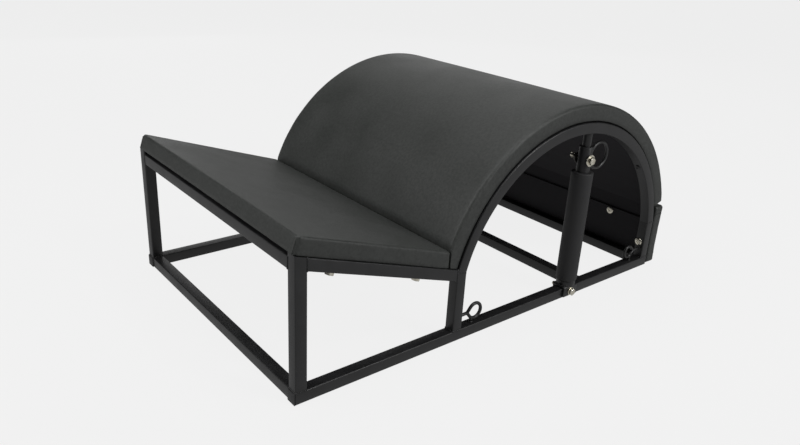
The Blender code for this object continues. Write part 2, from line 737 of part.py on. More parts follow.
def make_rear_pad():
    half = WIDTH / 2 - REAR_BOARD_INSET
    front = FRONT + REAR_BOARD_FRONT
    board = box_object(
        "rear_board", (front, -half, REAR_PAD_BOTTOM + FIT),
        (front + REAR_BOARD, half, REAR_PAD_TOP - FIT), PLYWOOD, BOARD_EDGE)
    liner_back = front - FIT
    liner = box_object(
        "rear_liner", (liner_back - LINER_BOARD, FIT - BETWEEN_RAILS, ON_RAIL),
        (liner_back, BETWEEN_RAILS - FIT, LINER_TOP), PLYWOOD, LINER_EDGE)
    for _, sign in SIDES:
        at = Vector((front, rear_bolt_y(sign), REAR_BOLT_HEIGHT))
        hole(board, at, ALONG, REAR_BOLT_RADIUS + HOLE_CLEARANCE, -TUBE / 2,
             REAR_BOLT_INTO_BOARD + HOLE_CLEARANCE)
        at = liner_screw_point(sign)
        for piece in (board, liner):
            hole(piece, at, ALONG, BOARD_SCREW_RADIUS + HOLE_CLEARANCE, -TUBE / 2,
                 liner_screw_reach() + HOLE_CLEARANCE)
    half_y = WIDTH / 2 - REAR_PAD_INSET
    half_z = (REAR_PAD_TOP - REAR_PAD_BOTTOM) / 2
    rings = pad_rings(
        half_y, half_z, REAR_PAD, REAR_PAD_EDGE, REAR_PAD_CROWN, REAR_PAD_DRAW, REAR_PAD_CORNER,
        REAR_PAD_HEM)
    middle = Vector((FRONT + REAR_PAD_FRONT, 0, (REAR_PAD_TOP + REAR_PAD_BOTTOM) / 2))
    place = frame_at(middle, ALONG, ACROSS)
    loft("rear_pad", [[place @ Vector(point) for point in ring] for ring in rings], VINYL)


def liner_screw_point(sign):
    """Under the head of a liner screw, on the liner's front face."""
    front = FRONT + REAR_BOARD_FRONT - FIT - LINER_BOARD
    return Vector((front, sign * LINER_SCREW_SIDE, LINER_TOP - LINER_SCREW_BELOW_TOP))


def barrel_screw_seat():
    """Radius where the heads of the barrel screws bear, on the flats of the bent board."""
    step = (BARREL_FRONT_ANGLE - BARREL_BOARD_REAR_ANGLE) / BARREL_STEPS
    return BOARD_INNER_RADIUS * math.cos(step / 2) - FIT


def liner_screw_reach():
    return LINER_BOARD + FIT + BOARD_SCREW_INTO_BOARD


# Handle posts


def make_handles():
    bow_disc = cylinder_mesh(ARCH_INNER - FIT, -WIDTH, WIDTH, 180)
    for side, sign in SIDES:
        make_spigot(side, sign, bow_disc)
        make_core(side, sign)
        grip_top = CORE_TOP - GRIP_BELOW_CORE_TOP
        grip = pipe_mesh(CORE_RADIUS + GRIP_RUNNING, GRIP_RADIUS, SOCKET_TOP + FIT, grip_top, 32, GRIP_EDGE)
        sleeve = add_object("grip_" + side, grip, GRIP_FOAM, smooth=True)
        sleeve.location = (HANDLE_X, sign * SIDE, 0)
        make_saddle(side, sign)
        make_ring(side, sign)


def make_spigot(side, sign, bow_disc):
    """Round bar under the bow, its top cut to the bow's curve."""
    top = arch_underside(HANDLE_FROM_FRONT)
    low = top - SPIGOT_LENGTH
    mesh = cylinder_mesh(SPIGOT_RADIUS, low, top + SPIGOT_RADIUS, 20)
    spigot = add_object("handle_spigot_" + side, mesh, FRAME_PAINT, smooth=True)
    spigot.location = (HANDLE_X, sign * SIDE, 0)
    disc = add_object("bow_underside_" + side, bow_disc)
    disc.matrix_world = frame_at(ARCH_CENTRE, ACROSS, ALONG)
    combine(spigot, disc, "INTERSECT")
    hole(spigot, Vector((HANDLE_X, sign * SIDE, TOP_BOLT_HEIGHT)), ACROSS,
         HANDLE_BOLT_RADIUS + HOLE_CLEARANCE, -TUBE, TUBE, ALONG)


def make_core(side, sign):
    mesh = pipe_mesh(SPIGOT_RADIUS + HOLE_CLEARANCE, CORE_RADIUS, WEB_TOP + FIT, CORE_TOP)
    core = add_object("handle_core_" + side, mesh, FRAME_PAINT, smooth=True)
    core.location = (HANDLE_X, sign * SIDE, 0)
    hole(core, Vector((HANDLE_X, sign * SIDE, TOP_BOLT_HEIGHT)), ACROSS,
         HANDLE_BOLT_RADIUS + HOLE_CLEARANCE, -TUBE, TUBE, ALONG)


def make_saddle(side, sign):
    """U-shaped bracket over the base rail, with a round socket for the foot of the core."""
    inner = TUBE / 2 + FIT
    outer = inner + SADDLE_PLATE
    low_x = HANDLE_X - SADDLE_LENGTH / 2
    high_x = HANDLE_X + SADDLE_LENGTH / 2
    y = sign * SIDE
    saddle = box_object(
        "handle_saddle_" + side, (low_x, y - outer, SADDLE_OVER_FLOOR), (high_x, y + outer, WEB_TOP),
        FRAME_PAINT, SADDLE_BEND)
    channel = box_object(
        "saddle_channel_" + side, (low_x - SADDLE_PLATE, y - inner, 0),
        (high_x + SADDLE_PLATE, y + inner, ON_RAIL), None)
    combine(saddle, channel, "DIFFERENCE")
    bore = CORE_RADIUS + HOLE_CLEARANCE
    socket = add_object(
        "saddle_socket_" + side,
        pipe_mesh(bore, bore + SOCKET_WALL, WEB_TOP - SADDLE_PLATE / 2, SOCKET_TOP))
    socket.location = (HANDLE_X, y, 0)
    combine(saddle, socket, "UNION")
    hole(saddle, Vector((HANDLE_X, y, FOOT_BOLT_HEIGHT)), ACROSS,
         HANDLE_BOLT_RADIUS + HOLE_CLEARANCE, -2 * TUBE, 2 * TUBE, ALONG)


def rod_loop(points):
    """A closed loop of round rod along points in a plane of constant Y, mitred at its corners."""
    bm = bmesh.new()
    loops = []
    for i, point in enumerate(points):
        before = (point - points[i - 1]).normalized()
        after = (points[(i + 1) % len(points)] - point).normalized()
        along = (before + after).normalized()
        outward = along.cross(ACROSS) / along.dot(after)
        loops.append([])
        for step in range(ROD_SIDES):
            angle = math.tau * (step + 0.5) / ROD_SIDES
            offset = outward * math.cos(angle) + ACROSS * math.sin(angle)
            loops[-1].append(bm.verts.new(point + offset * ROD_RADIUS))
    for first, second in zip(loops, loops[1:] + loops[:1]):
        for i in range(ROD_SIDES):
            bm.faces.new((first[i - 1], first[i], second[i], second[i - 1]))
    return mesh_from(bm, "rod_loop")


def on_circle(centre, away, radius, angle):
    """A point on an upright circle, by its angle from the direction away."""
    return centre + (away * math.cos(angle) + UP * math.sin(angle)) * radius


def make_ring(side, sign):
    """Ring of round rod against the rear of the core."""
    reach = CORE_RADIUS + FIT + ROD_RADIUS + RING_RADIUS
    centre = Vector((HANDLE_X + reach, sign * SIDE, CORE_TOP - RING_BELOW_CORE_TOP))
    angles = [math.tau * step / RING_STEPS for step in range(RING_STEPS)]
    points = [on_circle(centre, ALONG, RING_RADIUS, angle) for angle in angles]
    add_object("handle_ring_" + side, rod_loop(points), FRAME_PAINT, smooth=True)


# Bent eyes


def make_eyes():
    stations = (
        ("front_eye_", ARCH_LEG_CENTRE + TUBE / 2, 1, FRONT_EYE_RADIUS),
        ("rear_eye_", REAR_LEG_CENTRE - TUBE / 2, -1, REAR_EYE_RADIUS))
    for prefix, leg_face, way, radius in stations:
        for side, sign in SIDES:
            foot = Vector((FRONT + leg_face, sign * SIDE, EYE_HEIGHT))
            make_eye(prefix + side, foot, ALONG * way, radius)


def make_eye(name, leg_face, away, radius):
    """A rod from the leg bent into a pointed loop, its tail turned down onto the base rail."""
    centre = leg_face + away * EYE_FROM_LEG
    point = leg_face + away * EYE_POINT_FROM_LEG
    reach = math.pi - math.acos(radius / (EYE_FROM_LEG - EYE_POINT_FROM_LEG))
    points = [point]
    for step in range(EYE_STEPS + 1):
        points.append(on_circle(centre, away, radius, reach * (1 - 2 * step / EYE_STEPS)))
    eye = add_object(name, rod_loop(points), FRAME_PAINT, smooth=True)
    shank = add_object(
        name + "_shank", cylinder_mesh(ROD_RADIUS, FIT, EYE_POINT_FROM_LEG, ROD_SIDES))
    shank.matrix_world = frame_at(leg_face, away, ACROSS)
    combine(eye, shank, "UNION")
    drop = math.sqrt(radius ** 2 - EYE_TAIL_OFFSET ** 2)
    tail = add_object(
        name + "_tail", cylinder_mesh(ROD_RADIUS, ON_RAIL, EYE_HEIGHT - drop, ROD_SIDES))
    tail.location = centre - away * EYE_TAIL_OFFSET - UP * EYE_HEIGHT
    combine(eye, tail, "UNION")


# Fasteners, each made along +Z with the underside of its head or nut at the origin


def hexagon_mesh(flats, low, high, chamfer):
    """A hexagonal block with its low corners turned off by chamfer."""
    corner = flats / math.sqrt(3)
    bm = bmesh.new()
    bmesh.ops.create_cone(
        bm, cap_ends=True, segments=6, radius1=corner - chamfer, radius2=corner,
        depth=chamfer, matrix=Matrix.Translation((0, 0, low + chamfer / 2)))
    top = next(face for face in bm.faces if face.normal.z > 0.9)
    grown = bmesh.ops.extrude_face_region(bm, geom=[top])["geom"]
    bmesh.ops.delete(bm, geom=[top], context="FACES_ONLY")
    bmesh.ops.translate(
        bm, vec=(0, 0, high - low - chamfer),
        verts=[item for item in grown if isinstance(item, bmesh.types.BMVert)])
    return mesh_from(bm, "hexagon")


def built(name, body_mesh, steps):
    """The mesh of a body after a list of (operation, mesh) steps."""
    body = add_object(name, body_mesh)
    tools = []
    for operation, mesh in steps:
        tools.append(add_object(name + "_tool", mesh))
        combine(body, tools[-1], operation)
    mesh = evaluated_copy(body, name)
    for obj in [body] + tools:
        bpy.data.objects.remove(obj)
    return mesh


def hex_bolt_mesh(radius, flats, head, length, washer_radius=0.0):
    """Hex-headed bolt, with its washer fast under the head where it has one."""
    steps = [("UNION", cylinder_mesh(radius, -head / 2, length))]
    if washer_radius:
        steps.append(("UNION", cylinder_mesh(washer_radius, -FIT, WASHER_THICKNESS, 20)))
    return built("hex_bolt", hexagon_mesh(flats, -head, 0, HEX_CHAMFER), steps)


def hex_nut_mesh(radius, flats, height, washer_radius):
    """Hex nut with a washer fast to it, facing +Z."""
    return built("hex_nut", hexagon_mesh(flats, -height, 0, HEX_CHAMFER), [
        ("UNION", cylinder_mesh(washer_radius, -FIT, WASHER_THICKNESS, 20)),
        ("DIFFERENCE", cylinder_mesh(radius, -2 * height, 2 * height))])


def dome_screw_mesh(radius, head_radius, head, length):
    """Screw with a shallow round head."""
    bm = bmesh.new()
    outline = [(0, length), (radius, length), (radius, 0), (head_radius, 0)]
    for step in range(1, 4):
        turn = math.pi / 2 * step / 4
        outline.append((head_radius * math.cos(turn), -head * math.sin(turn)))
    outline.append((0, -head))
    verts = [bm.verts.new((r, 0, z)) for r, z in outline]
    edges = [bm.edges.new(pair) for pair in zip(verts, verts[1:])]
    bmesh.ops.spin(
        bm, geom=verts + edges, cent=(0, 0, 0), axis=(0, 0, 1),
        angle=math.tau, steps=12, use_merge=True)
    bmesh.ops.remove_doubles(bm, verts=bm.verts[:], dist=0.00001)
    return mesh_from(bm, "dome_screw")


def make_seat_bolts():
    length = TUBE + FIT + FIT + SEAT_BOLT_INTO_BOARD
    mesh = hex_bolt_mesh(SEAT_BOLT_RADIUS, SEAT_BOLT_FLATS, SEAT_BOLT_HEAD, length)
    for side, sign in SIDES:
        for end, from_front in zip(ENDS, SEAT_BOLTS_FROM_FRONT):
            under = seat_point(from_front, seat_bolt_y(sign), -TUBE - FIT)
            placed(f"seat_bolt_{end}_{side}", mesh, frame_at(under, SEAT_NORMAL, ACROSS), BRIGHT_ZINC)


def make_board_screws():
    mesh = dome_screw_mesh(
        BOARD_SCREW_RADIUS, BOARD_SCREW_HEAD_RADIUS, BOARD_SCREW_HEAD, FIT + BOARD_SCREW_INTO_BOARD)
    for side, sign in SIDES:
        for end, angle in zip(ENDS, BARREL_SCREW_ANGLES):
            under = arch_point(barrel_screw_seat(), angle, sign * BARREL_SCREW_SIDE)
            place = frame_at(under, arch_direction(angle), ACROSS)
            placed(f"barrel_screw_{end}_{side}", mesh, place, BRIGHT_ZINC)
    mesh = dome_screw_mesh(
        BOARD_SCREW_RADIUS, BOARD_SCREW_HEAD_RADIUS, BOARD_SCREW_HEAD, FIT + liner_screw_reach())
    for side, sign in SIDES:
        place = frame_at(liner_screw_point(sign) - ALONG * FIT, ALONG, ACROSS)
        placed("liner_screw_" + side, mesh, place, BRIGHT_ZINC)


def make_rear_bolts():
    length = FIT + TUBE + FIT + REAR_BOLT_INTO_BOARD
    mesh = dome_screw_mesh(REAR_BOLT_RADIUS, REAR_BOLT_HEAD_RADIUS, REAR_BOLT_HEAD, length)
    leg_face = FRONT + REAR_LEG_CENTRE - TUBE / 2
    for side, sign in SIDES:
        under = Vector((leg_face - FIT, rear_bolt_y(sign), REAR_BOLT_HEIGHT))
        placed("rear_pad_bolt_" + side, mesh, frame_at(under, ALONG, ACROSS), BRIGHT_ZINC)


def make_cross_bolts(prefix, height, bearing, washer_radius, past_nut):
    """A bolt in from each side along Y, and its nut on the inner side, each with a washer."""
    seat = bearing + FIT + WASHER_THICKNESS
    length = 2 * seat + HANDLE_NUT_HEIGHT + past_nut
    bolt = hex_bolt_mesh(
        HANDLE_BOLT_RADIUS, HANDLE_BOLT_FLATS, HANDLE_BOLT_HEAD, length, washer_radius)
    nut = hex_nut_mesh(
        HANDLE_BOLT_RADIUS + HOLE_CLEARANCE, HANDLE_BOLT_FLATS, HANDLE_NUT_HEIGHT, washer_radius)
    for side, sign in SIDES:
        centre = Vector((HANDLE_X, sign * SIDE, height))
        outward = Vector((0, sign, 0))
        head = frame_at(centre + outward * seat, -outward, ALONG)
        placed(f"{prefix}_bolt_{side}", bolt, head, BRIGHT_ZINC)
        inner = frame_at(centre - outward * seat, outward, ALONG)
        placed(f"{prefix}_nut_{side}", nut, inner, BRIGHT_ZINC)


def build():
    clear_scene()
    make_base()
    make_uprights()
    make_bows()
    make_barrel_board()
    make_barrel_pad()
    make_seat()
    make_rear_pad()
    make_handles()
    make_eyes()
    make_seat_bolts()
    make_board_screws()
    make_rear_bolts()
    make_cross_bolts(
        "handle_top", TOP_BOLT_HEIGHT, CORE_RADIUS, TOP_WASHER_RADIUS, TOP_BOLT_PAST_NUT)
    make_cross_bolts(
        "handle_foot", FOOT_BOLT_HEIGHT, TUBE / 2 + FIT + SADDLE_PLATE, FOOT_WASHER_RADIUS,
        FOOT_BOLT_PAST_NUT)


build()
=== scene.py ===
"""Step barrel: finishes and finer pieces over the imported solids, in metres, +Z up.

+X runs from the front end of the seat to the back of the barrel, and -Y is the left
side, which is the near side in the picture. Distances called "from the front" are
measured from the front faces of the front legs.
"""

import json
import math
from collections import namedtuple

import bmesh
import bpy
from mathutils import Matrix, Vector, noise as terrain


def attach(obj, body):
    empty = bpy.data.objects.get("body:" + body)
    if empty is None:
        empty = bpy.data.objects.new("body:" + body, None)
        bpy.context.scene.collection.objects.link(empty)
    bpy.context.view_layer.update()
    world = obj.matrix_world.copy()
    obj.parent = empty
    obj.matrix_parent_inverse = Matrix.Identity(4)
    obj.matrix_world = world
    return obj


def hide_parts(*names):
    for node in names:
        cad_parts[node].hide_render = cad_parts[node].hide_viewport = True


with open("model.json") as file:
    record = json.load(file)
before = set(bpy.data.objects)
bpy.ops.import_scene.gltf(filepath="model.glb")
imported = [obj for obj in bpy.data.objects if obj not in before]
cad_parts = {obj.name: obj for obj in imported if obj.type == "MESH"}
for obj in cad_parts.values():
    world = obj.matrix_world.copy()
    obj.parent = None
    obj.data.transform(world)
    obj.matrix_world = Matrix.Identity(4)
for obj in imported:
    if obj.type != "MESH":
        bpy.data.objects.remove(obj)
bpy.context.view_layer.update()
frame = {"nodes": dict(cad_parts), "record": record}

# Points nearer than this to a line or plane are on it
TOUCHING = 0.00001

# Sizes repeated from the solids: frame
FIT = 0.0003
TUBE = 0.020
TUBE_WALL = 0.0015
TUBE_CORNER = 0.0018
WIDTH = 0.560
FRONT = -0.450009
MIDDLE_BAR_FROM_FRONT = 0.646
SEAT_FRONT_HEIGHT = 0.240
SEAT_SLOPE = math.radians(18.54)
ARCH_CENTRE_FROM_FRONT = 0.586
ARCH_CENTRE_HEIGHT = 0.059
ARCH_RADIUS = 0.288
ARCH_REAR_ANGLE = math.radians(8.4)
ARCH_FRONT_ANGLE = math.pi - math.radians(14.6)
PLUG_FLANGE = 0.002
PLUG_DEPTH = 0.014
PLUG_WALL = 0.0025

# Pads and boards
BARREL_BOARD = 0.006
BARREL_BOARD_INSET = 0.010
BARREL_PAD = 0.0219
BARREL_PAD_INSET = 0.004
BARREL_PAD_TAPER = 0.0012
BARREL_PAD_REAR_ANGLE = math.radians(15.0)
SEAT_REAR = 0.289702
SEAT_PAD = 0.026
SEAT_PAD_INSET = 0.003
SEAT_PAD_LIFT = 0.0018
SEAT_BOARD = 0.012
SEAT_COVER = 0.0012
REAR_BOARD = 0.006
REAR_PAD = 0.0244
REAR_PAD_BOTTOM = 0.001
REAR_PAD_TOP = 0.130
REAR_PAD_INSET = 0.001
LINER_BOARD = 0.004
LINER_TOP = 0.100

# Handle posts, saddles, rings and eyes
HANDLE_FROM_FRONT = 0.6125
SPIGOT_RADIUS = 0.008
SPIGOT_SHOWS = 0.025
SPIGOT_LENGTH = 0.075
CORE_RADIUS = 0.0125
GRIP_RADIUS = 0.0202
GRIP_RUNNING = 0.0004
GRIP_BELOW_CORE_TOP = 0.048
TOP_BOLT_BELOW_CORE_TOP = 0.0243
RING_BELOW_CORE_TOP = 0.023
RING_RADIUS = 0.0245
SADDLE_LENGTH = 0.038
SADDLE_PLATE = 0.004
SADDLE_OVER_FLOOR = 0.003
SOCKET_WALL = 0.005
SOCKET_HEIGHT = 0.0104
EYE_FROM_LEG = 0.0383
EYE_POINT_FROM_LEG = 0.0203
EYE_HEIGHT = 0.040
EYE_TAIL_OFFSET = 0.0075
ROD_RADIUS = 0.003

# Fasteners: the round heads have a radius, a height and the radius of the shank
BOLT_RADIUS = 0.004
BOLT_FLATS = 0.013
HANDLE_BOLT_HEAD = 0.0053
HANDLE_NUT_HEIGHT = 0.0065
BOARD_SCREW = (0.0083, 0.0030, 0.0025)
REAR_BOLT = (0.0083, 0.0035, 0.003)
BOW_BOLT = (0.0055, 0.0030, 0.0030)
BOW_BOLT_LENGTH = 0.0010
KEY_RADIUS = 0.0020
KEY_DEPTH = 0.0018
KEY_LENGTH = 0.004
BARREL_SCREW_TURN = 0.5
LINER_SCREW_TURN = 0.9
REAR_BOLT_TURN = 0.3
WASHER_THICKNESS = 0.0016
SEAT_BOLT_INTO_BOARD = 0.009
SEAT_BOLT_HEAD = 0.0055
SEAT_BOLT_INBOARD = 0.0015
SEAT_BOLTS_FROM_FRONT = (0.070, 0.232)
SCREW_INTO_BOARD = 0.0045
BARREL_SCREW_ANGLES = (math.radians(151.5), math.radians(28.5))
BARREL_SCREW_SIDE = 0.077
LINER_SCREW_SIDE = 0.175
LINER_SCREW_BELOW_TOP = 0.009
REAR_BOLT_HEIGHT = 0.054
REAR_BOLT_INBOARD = 0.003
BOW_BOLT_ANGLES = (math.radians(40), math.radians(90), math.radians(140))

# Worked out from the sizes above
BETWEEN_RAILS = WIDTH / 2 - TUBE
HALF = TUBE / 2
SIDE = WIDTH / 2 - HALF
SLOPED_HALF = HALF / math.cos(SEAT_SLOPE)
ON_RAIL = TUBE + FIT
ARCH_CENTRE = Vector((FRONT + ARCH_CENTRE_FROM_FRONT, 0, ARCH_CENTRE_HEIGHT))
ARCH_TUBE_CENTRE = ARCH_RADIUS - HALF
ARCH_INNER = ARCH_RADIUS - TUBE
ARCH_LEG_CENTRE = ARCH_CENTRE_FROM_FRONT + ARCH_TUBE_CENTRE * math.cos(ARCH_FRONT_ANGLE)
REAR_LEG_CENTRE = ARCH_CENTRE_FROM_FRONT + ARCH_TUBE_CENTRE * math.cos(ARCH_REAR_ANGLE)
BASE_LENGTH = REAR_LEG_CENTRE + HALF
REAR_BOARD_FRONT = BASE_LENGTH + FIT
REAR_PAD_FRONT = REAR_BOARD_FRONT + REAR_BOARD + FIT
BOARD_INNER_RADIUS = ARCH_RADIUS + FIT
BOARD_OUTER_RADIUS = BOARD_INNER_RADIUS + BARREL_BOARD
PAD_INNER_RADIUS = BOARD_OUTER_RADIUS + FIT
PAD_OUTER_RADIUS = PAD_INNER_RADIUS + BARREL_PAD
BARREL_BOARD_REAR_ANGLE = math.acos((BASE_LENGTH - ARCH_CENTRE_FROM_FRONT) / BOARD_OUTER_RADIUS)
BARREL_FRONT_ANGLE = math.radians(163.99)
BARREL_FLAT = FRONT + SEAT_REAR + FIT
HANDLE_X = FRONT + HANDLE_FROM_FRONT
SEAT_LENGTH = SEAT_REAR / math.cos(SEAT_SLOPE)
SEAT_DOWN = Vector((math.cos(SEAT_SLOPE), 0, -math.sin(SEAT_SLOPE)))
SEAT_NORMAL = Vector((math.sin(SEAT_SLOPE), 0, math.cos(SEAT_SLOPE)))
ALONG = Vector((1, 0, 0))
ACROSS = Vector((0, 1, 0))
UP = Vector((0, 0, 1))
SIDES = (("left", -1), ("right", 1))

# Broken edges, bends and the numbers of steps round a curve
PLUG_EDGE = 0.0008
PLUG_END = 0.001
CORE_EDGE = 0.0006
GRIP_EDGE = 0.0022
GRIP_WAVER = 0.00012
SADDLE_BEND = 0.0042
SADDLE_EDGE = 0.0005
SOCKET_EDGE = 0.0009
WASHER_EDGE = 0.0003
BOARD_EDGE = 0.0006
HEX_CHAMFER = 0.0009
HEAD_RIM = 0.0006
THREAD_PITCH = 0.00125
THREAD_ROOT = 0.84
THREAD_TIP = 0.78
ROUND_STEPS = 56
SMALL_ROUND_STEPS = 24
GRIP_STEPS = 64
GRIP_SLICES = 24
ROD_SIDES = 16
EYE_BEND_STEPS = 40
RING_SIDES = 20
RING_BEND_STEPS = 96
HEAD_STEPS = 32
HEAD_SLICES = 8
BOW_STEPS = 120
BOARD_STEPS = 140
SHARP_OVER = math.radians(35)
SHARP_OVER_ON_PADS = math.radians(50)
SHARP_OVER_ON_BEADS = math.radians(80)

# How the pads are shaped and filled
PAD_CELL = 0.0065
PAD_PRESSURE = 4.0
PAD_FRAMES = 20
HELD_PAST_EDGE = 1.1
SLACK = 0.0010
PadForm = namedtuple("PadForm", "corner edge hem crown draw")
SEAT_FORM = PadForm(corner=0.008, edge=0.004, hem=0.0008, crown=0.002, draw=0.0010)
REAR_FORM = PadForm(corner=0.006, edge=0.0035, hem=0.0015, crown=0.0012, draw=0.0012)
BARREL_PAD_EDGE = 0.006
BARREL_PAD_END_EDGE = 0.002
BARREL_PAD_CROWN = 0.0012
BARREL_PAD_DRAW = 0.0006

# How far the fabric of each pad stands proud of its solid
SEAT_PAD_PROUD = 0.0045
SEAT_PAD_SIDE_PROUD = 0.0020
SEAT_PAD_FRONT_PROUD = 0.0020
SEAT_PAD_LOWERED = 0.0011
BARREL_PAD_PROUD = 0.0050
BARREL_PAD_SIDE_PROUD = 0.0020
BARREL_PAD_OVER_BOW = 0.0024
REAR_PAD_PROUD = 0.0015
REAR_PAD_LOWERED = 0.0008

UNEVENNESS = 0.00045
FOLD_WIDTH = 0.007
FOLD_RISE = 0.0007
FOLD_SUNK = 0.0004
REAR_FOLDS_FROM_TOP = (0.010, 0.017)
REAR_FOLDS_FROM_BOTTOM = (0.012, 0.020)

# Hems of the seat cover, stapled under the seat board
HEM_WIDTH = 0.020
HEM_THICKNESS = 0.0009
HEM_OFF_RAILS = 0.001
HEM_OFF_FRONT_BAR = 0.002
HEM_OFF_REAR = 0.034
STAPLE_PITCH = 0.028
STAPLE_CROWN = 0.010
STAPLE_WIRE = 0.0006
STAPLE_CROOKED = 0.35

# Weld beads
BEAD_RADIUS = 0.0016
BEAD_PITCH = 0.0015
BEAD_WAVER = 0.22
BEAD_WAVER_SCALE = 900
BEAD_SUNK = BEAD_RADIUS * 0.25
RING_WELD_REACH = 0.005

# Room and light: the area lights have a name, place, aim, size and watts
FLOOR_GLOW = 0.845
LIGHT_FROM_ABOVE = 0.03
LIGHT_FROM_BELOW = 0.42
HORIZON_BLUR = 0.15
FLOOR_REACH = 30
WALL_REACH = 28
LIGHTS = (
    ("overhead", (-0.3, 0.0, 2.4), (0, 0, 0.2), (2.2, 2.2), 27),
    ("front_window", (-2.5, 0.5, 1.7), (0, 0, 0.2), (1.6, 1.6), 29),
    ("side_window", (1.3, -2.7, 1.4), (0, 0, 0.2), (1.6, 1.6), 32),
    ("high_rear", (1.6, 2.2, 2.0), (0, 0, 0.3), (2.2, 1.6), 8),
    ("low_rear", (2.4, 2.0, 0.9), (0, 0, 0.3), (1.8, 1.2), 4),
    ("low_far", (0.4, 3.0, 0.6), (-0.2, 0, 0.2), (1.4, 1.0), 4),
    ("near_high", (0.4, -1.8, 2.25), (0, -0.2, 0.3), (0.3, 0.3), 12))

# Camera worked out from the picture
CAMERA_PLACE = (-0.897253, -1.031798, 0.657028)
CAMERA_RIGHT = (0.781356, -0.621980, 0.051223)
CAMERA_UP = (0.202029, 0.329745, 0.922200)
CAMERA_BACK = (-0.590481, -0.710218, 0.383306)
CAMERA_LENS = 32.539
SENSOR_WIDTH = 36.0
CAMERA_SHIFT = (-0.0001, -0.0009)


# Shader building blocks


def connect(owner, node, inputs):
    """Give a node its inputs, each one a plain value or another node's output."""
    for name, value in inputs.items():
        if isinstance(value, bpy.types.NodeSocket):
            owner.node_tree.links.new(value, node.inputs[name])
        else:
            node.inputs[name].default_value = value


def add_node(owner, kind, output, inputs, **settings):
    """Add a node to a material or a world, and give back one of its outputs."""
    node = owner.node_tree.nodes.new(kind)
    for name, value in settings.items():
        setattr(node, name, value)
    connect(owner, node, inputs)
    return node.outputs[output]


def object_point(material, stretch=(1, 1, 1)):
    """Object coordinates through a mapping that stretches them."""
    point = add_node(material, "ShaderNodeTexCoord", "Object", {})
    return add_node(material, "ShaderNodeMapping", "Vector", {"Vector": point, "Scale": stretch})


def noise(material, point, scale, detail, roughness=0.5):
    return add_node(material, "ShaderNodeTexNoise", "Fac", {
        "Vector": point, "Scale": scale, "Detail": detail, "Roughness": roughness})


def cells(material, point, scale):
    return add_node(
        material, "ShaderNodeTexVoronoi", "Distance", {"Vector": point, "Scale": scale})


def ramp(material, factor, dark, light, low=0.3, high=0.7):
    """A colour that goes from dark at a low factor to light at a high one."""
    node = material.node_tree.nodes.new("ShaderNodeValToRGB")
    for element, position, colour in zip(node.color_ramp.elements, (low, high), (dark, light)):
        element.position = position
        element.color = (*colour, 1)
    connect(material, node, {"Fac": factor})
    return node.outputs["Color"]


def spread(owner, factor, low, high, from_low=0.3, from_high=0.7):
    """Stretches a factor onto the range from low to high."""
    return add_node(owner, "ShaderNodeMapRange", "Result", {
        "Value": factor, "From Min": from_low, "From Max": from_high,
        "To Min": low, "To Max": high})


def bump(material, height, strength, distance, under=None):
    inputs = {"Height": height, "Strength": strength, "Distance": distance}
    if under:
        inputs["Normal"] = under
    return add_node(material, "ShaderNodeBump", "Normal", inputs)


def mix(material, kind, first, second):
    """Two colours combined in full; 6, 7 and 2 are the colour sockets of the mix node."""
    return add_node(
        material, "ShaderNodeMix", 2, {"Factor": 1.0, 6: first, 7: second},
        data_type="RGBA", blend_type=kind)


def new_material(name):
    material = bpy.data.materials.new(name)
    material.use_nodes = True
    return material


def dress(material, inputs):
    """Give a material's surface its inputs."""
    connect(material, material.node_tree.nodes["Principled BSDF"], inputs)
    return material


# Finishes


def powder_coat():
    """Satin black powder coat with its orange peel, dusty marks and a few pale nicks."""
    material = new_material("satin_black_powder_coat")
    point = object_point(material)
    mottle = noise(material, point, 35, 5)
    colour = ramp(material, mottle, (0.012, 0.012, 0.0125), (0.018, 0.018, 0.019))
    nicks = ramp(
        material, noise(material, point, 330, 2, 0.7), (0, 0, 0), (0.10, 0.10, 0.095), 0.74, 0.79)
    return dress(material, {
        "Base Color": mix(material, "ADD", colour, nicks),
        "Roughness": spread(material, mottle, 0.32, 0.44),
        "Normal": bump(material, noise(material, point, 900, 2), 0.25, 0.0002)})


def vinyl():
    """Charcoal upholstery vinyl with a fine pebbled grain and faint creases."""
    material = new_material("charcoal_vinyl")
    point = object_point(material)
    cloud = noise(material, point, 14, 4)
    colour = ramp(material, cloud, (0.036, 0.039, 0.036), (0.044, 0.047, 0.044))
    speckle = ramp(
        material, noise(material, point, 210, 3, 0.6), (0.66, 0.66, 0.66), (1, 1, 1), 0.34, 0.66)
    grain = bump(material, cells(material, point, 950), 0.40, 0.00025)
    return dress(material, {
        "Base Color": mix(material, "MULTIPLY", colour, speckle),
        "Roughness": spread(material, cloud, 0.46, 0.56),
        "Normal": bump(material, noise(material, point, 420, 3), 0.30, 0.0003, grain)})


def mottled(name, pattern, tones, rough, relief, stretch=(1, 1, 1), pores=None, plain=None):
    """A finish with one noise in its colour, its roughness and its relief.

    The pattern is the noise's scale, detail and roughness, and the relief is a bump's strength
    and depth. Where pores have a scale, the relief follows them instead of the noise.
    """
    material = new_material(name)
    point = object_point(material, stretch)
    factor = noise(material, point, *pattern)
    height = cells(material, point, pores) if pores else factor
    return dress(material, {
        "Base Color": ramp(material, factor, *tones),
        "Roughness": spread(material, factor, *rough),
        "Normal": bump(material, height, *relief), **(plain or {})})


def pale_floor():
    """A pale studio floor, lit evenly from within so that shadows on it stay faint."""
    material = new_material("pale_floor")
    cloud = noise(material, object_point(material), 0.7, 3)
    return dress(material, {
        "Base Color": ramp(material, cloud, (0.038, 0.038, 0.038), (0.044, 0.044, 0.044)),
        "Roughness": 0.9, "Specular IOR Level": 0.0,
        "Emission Color": (1, 1, 1, 1), "Emission Strength": FLOOR_GLOW})


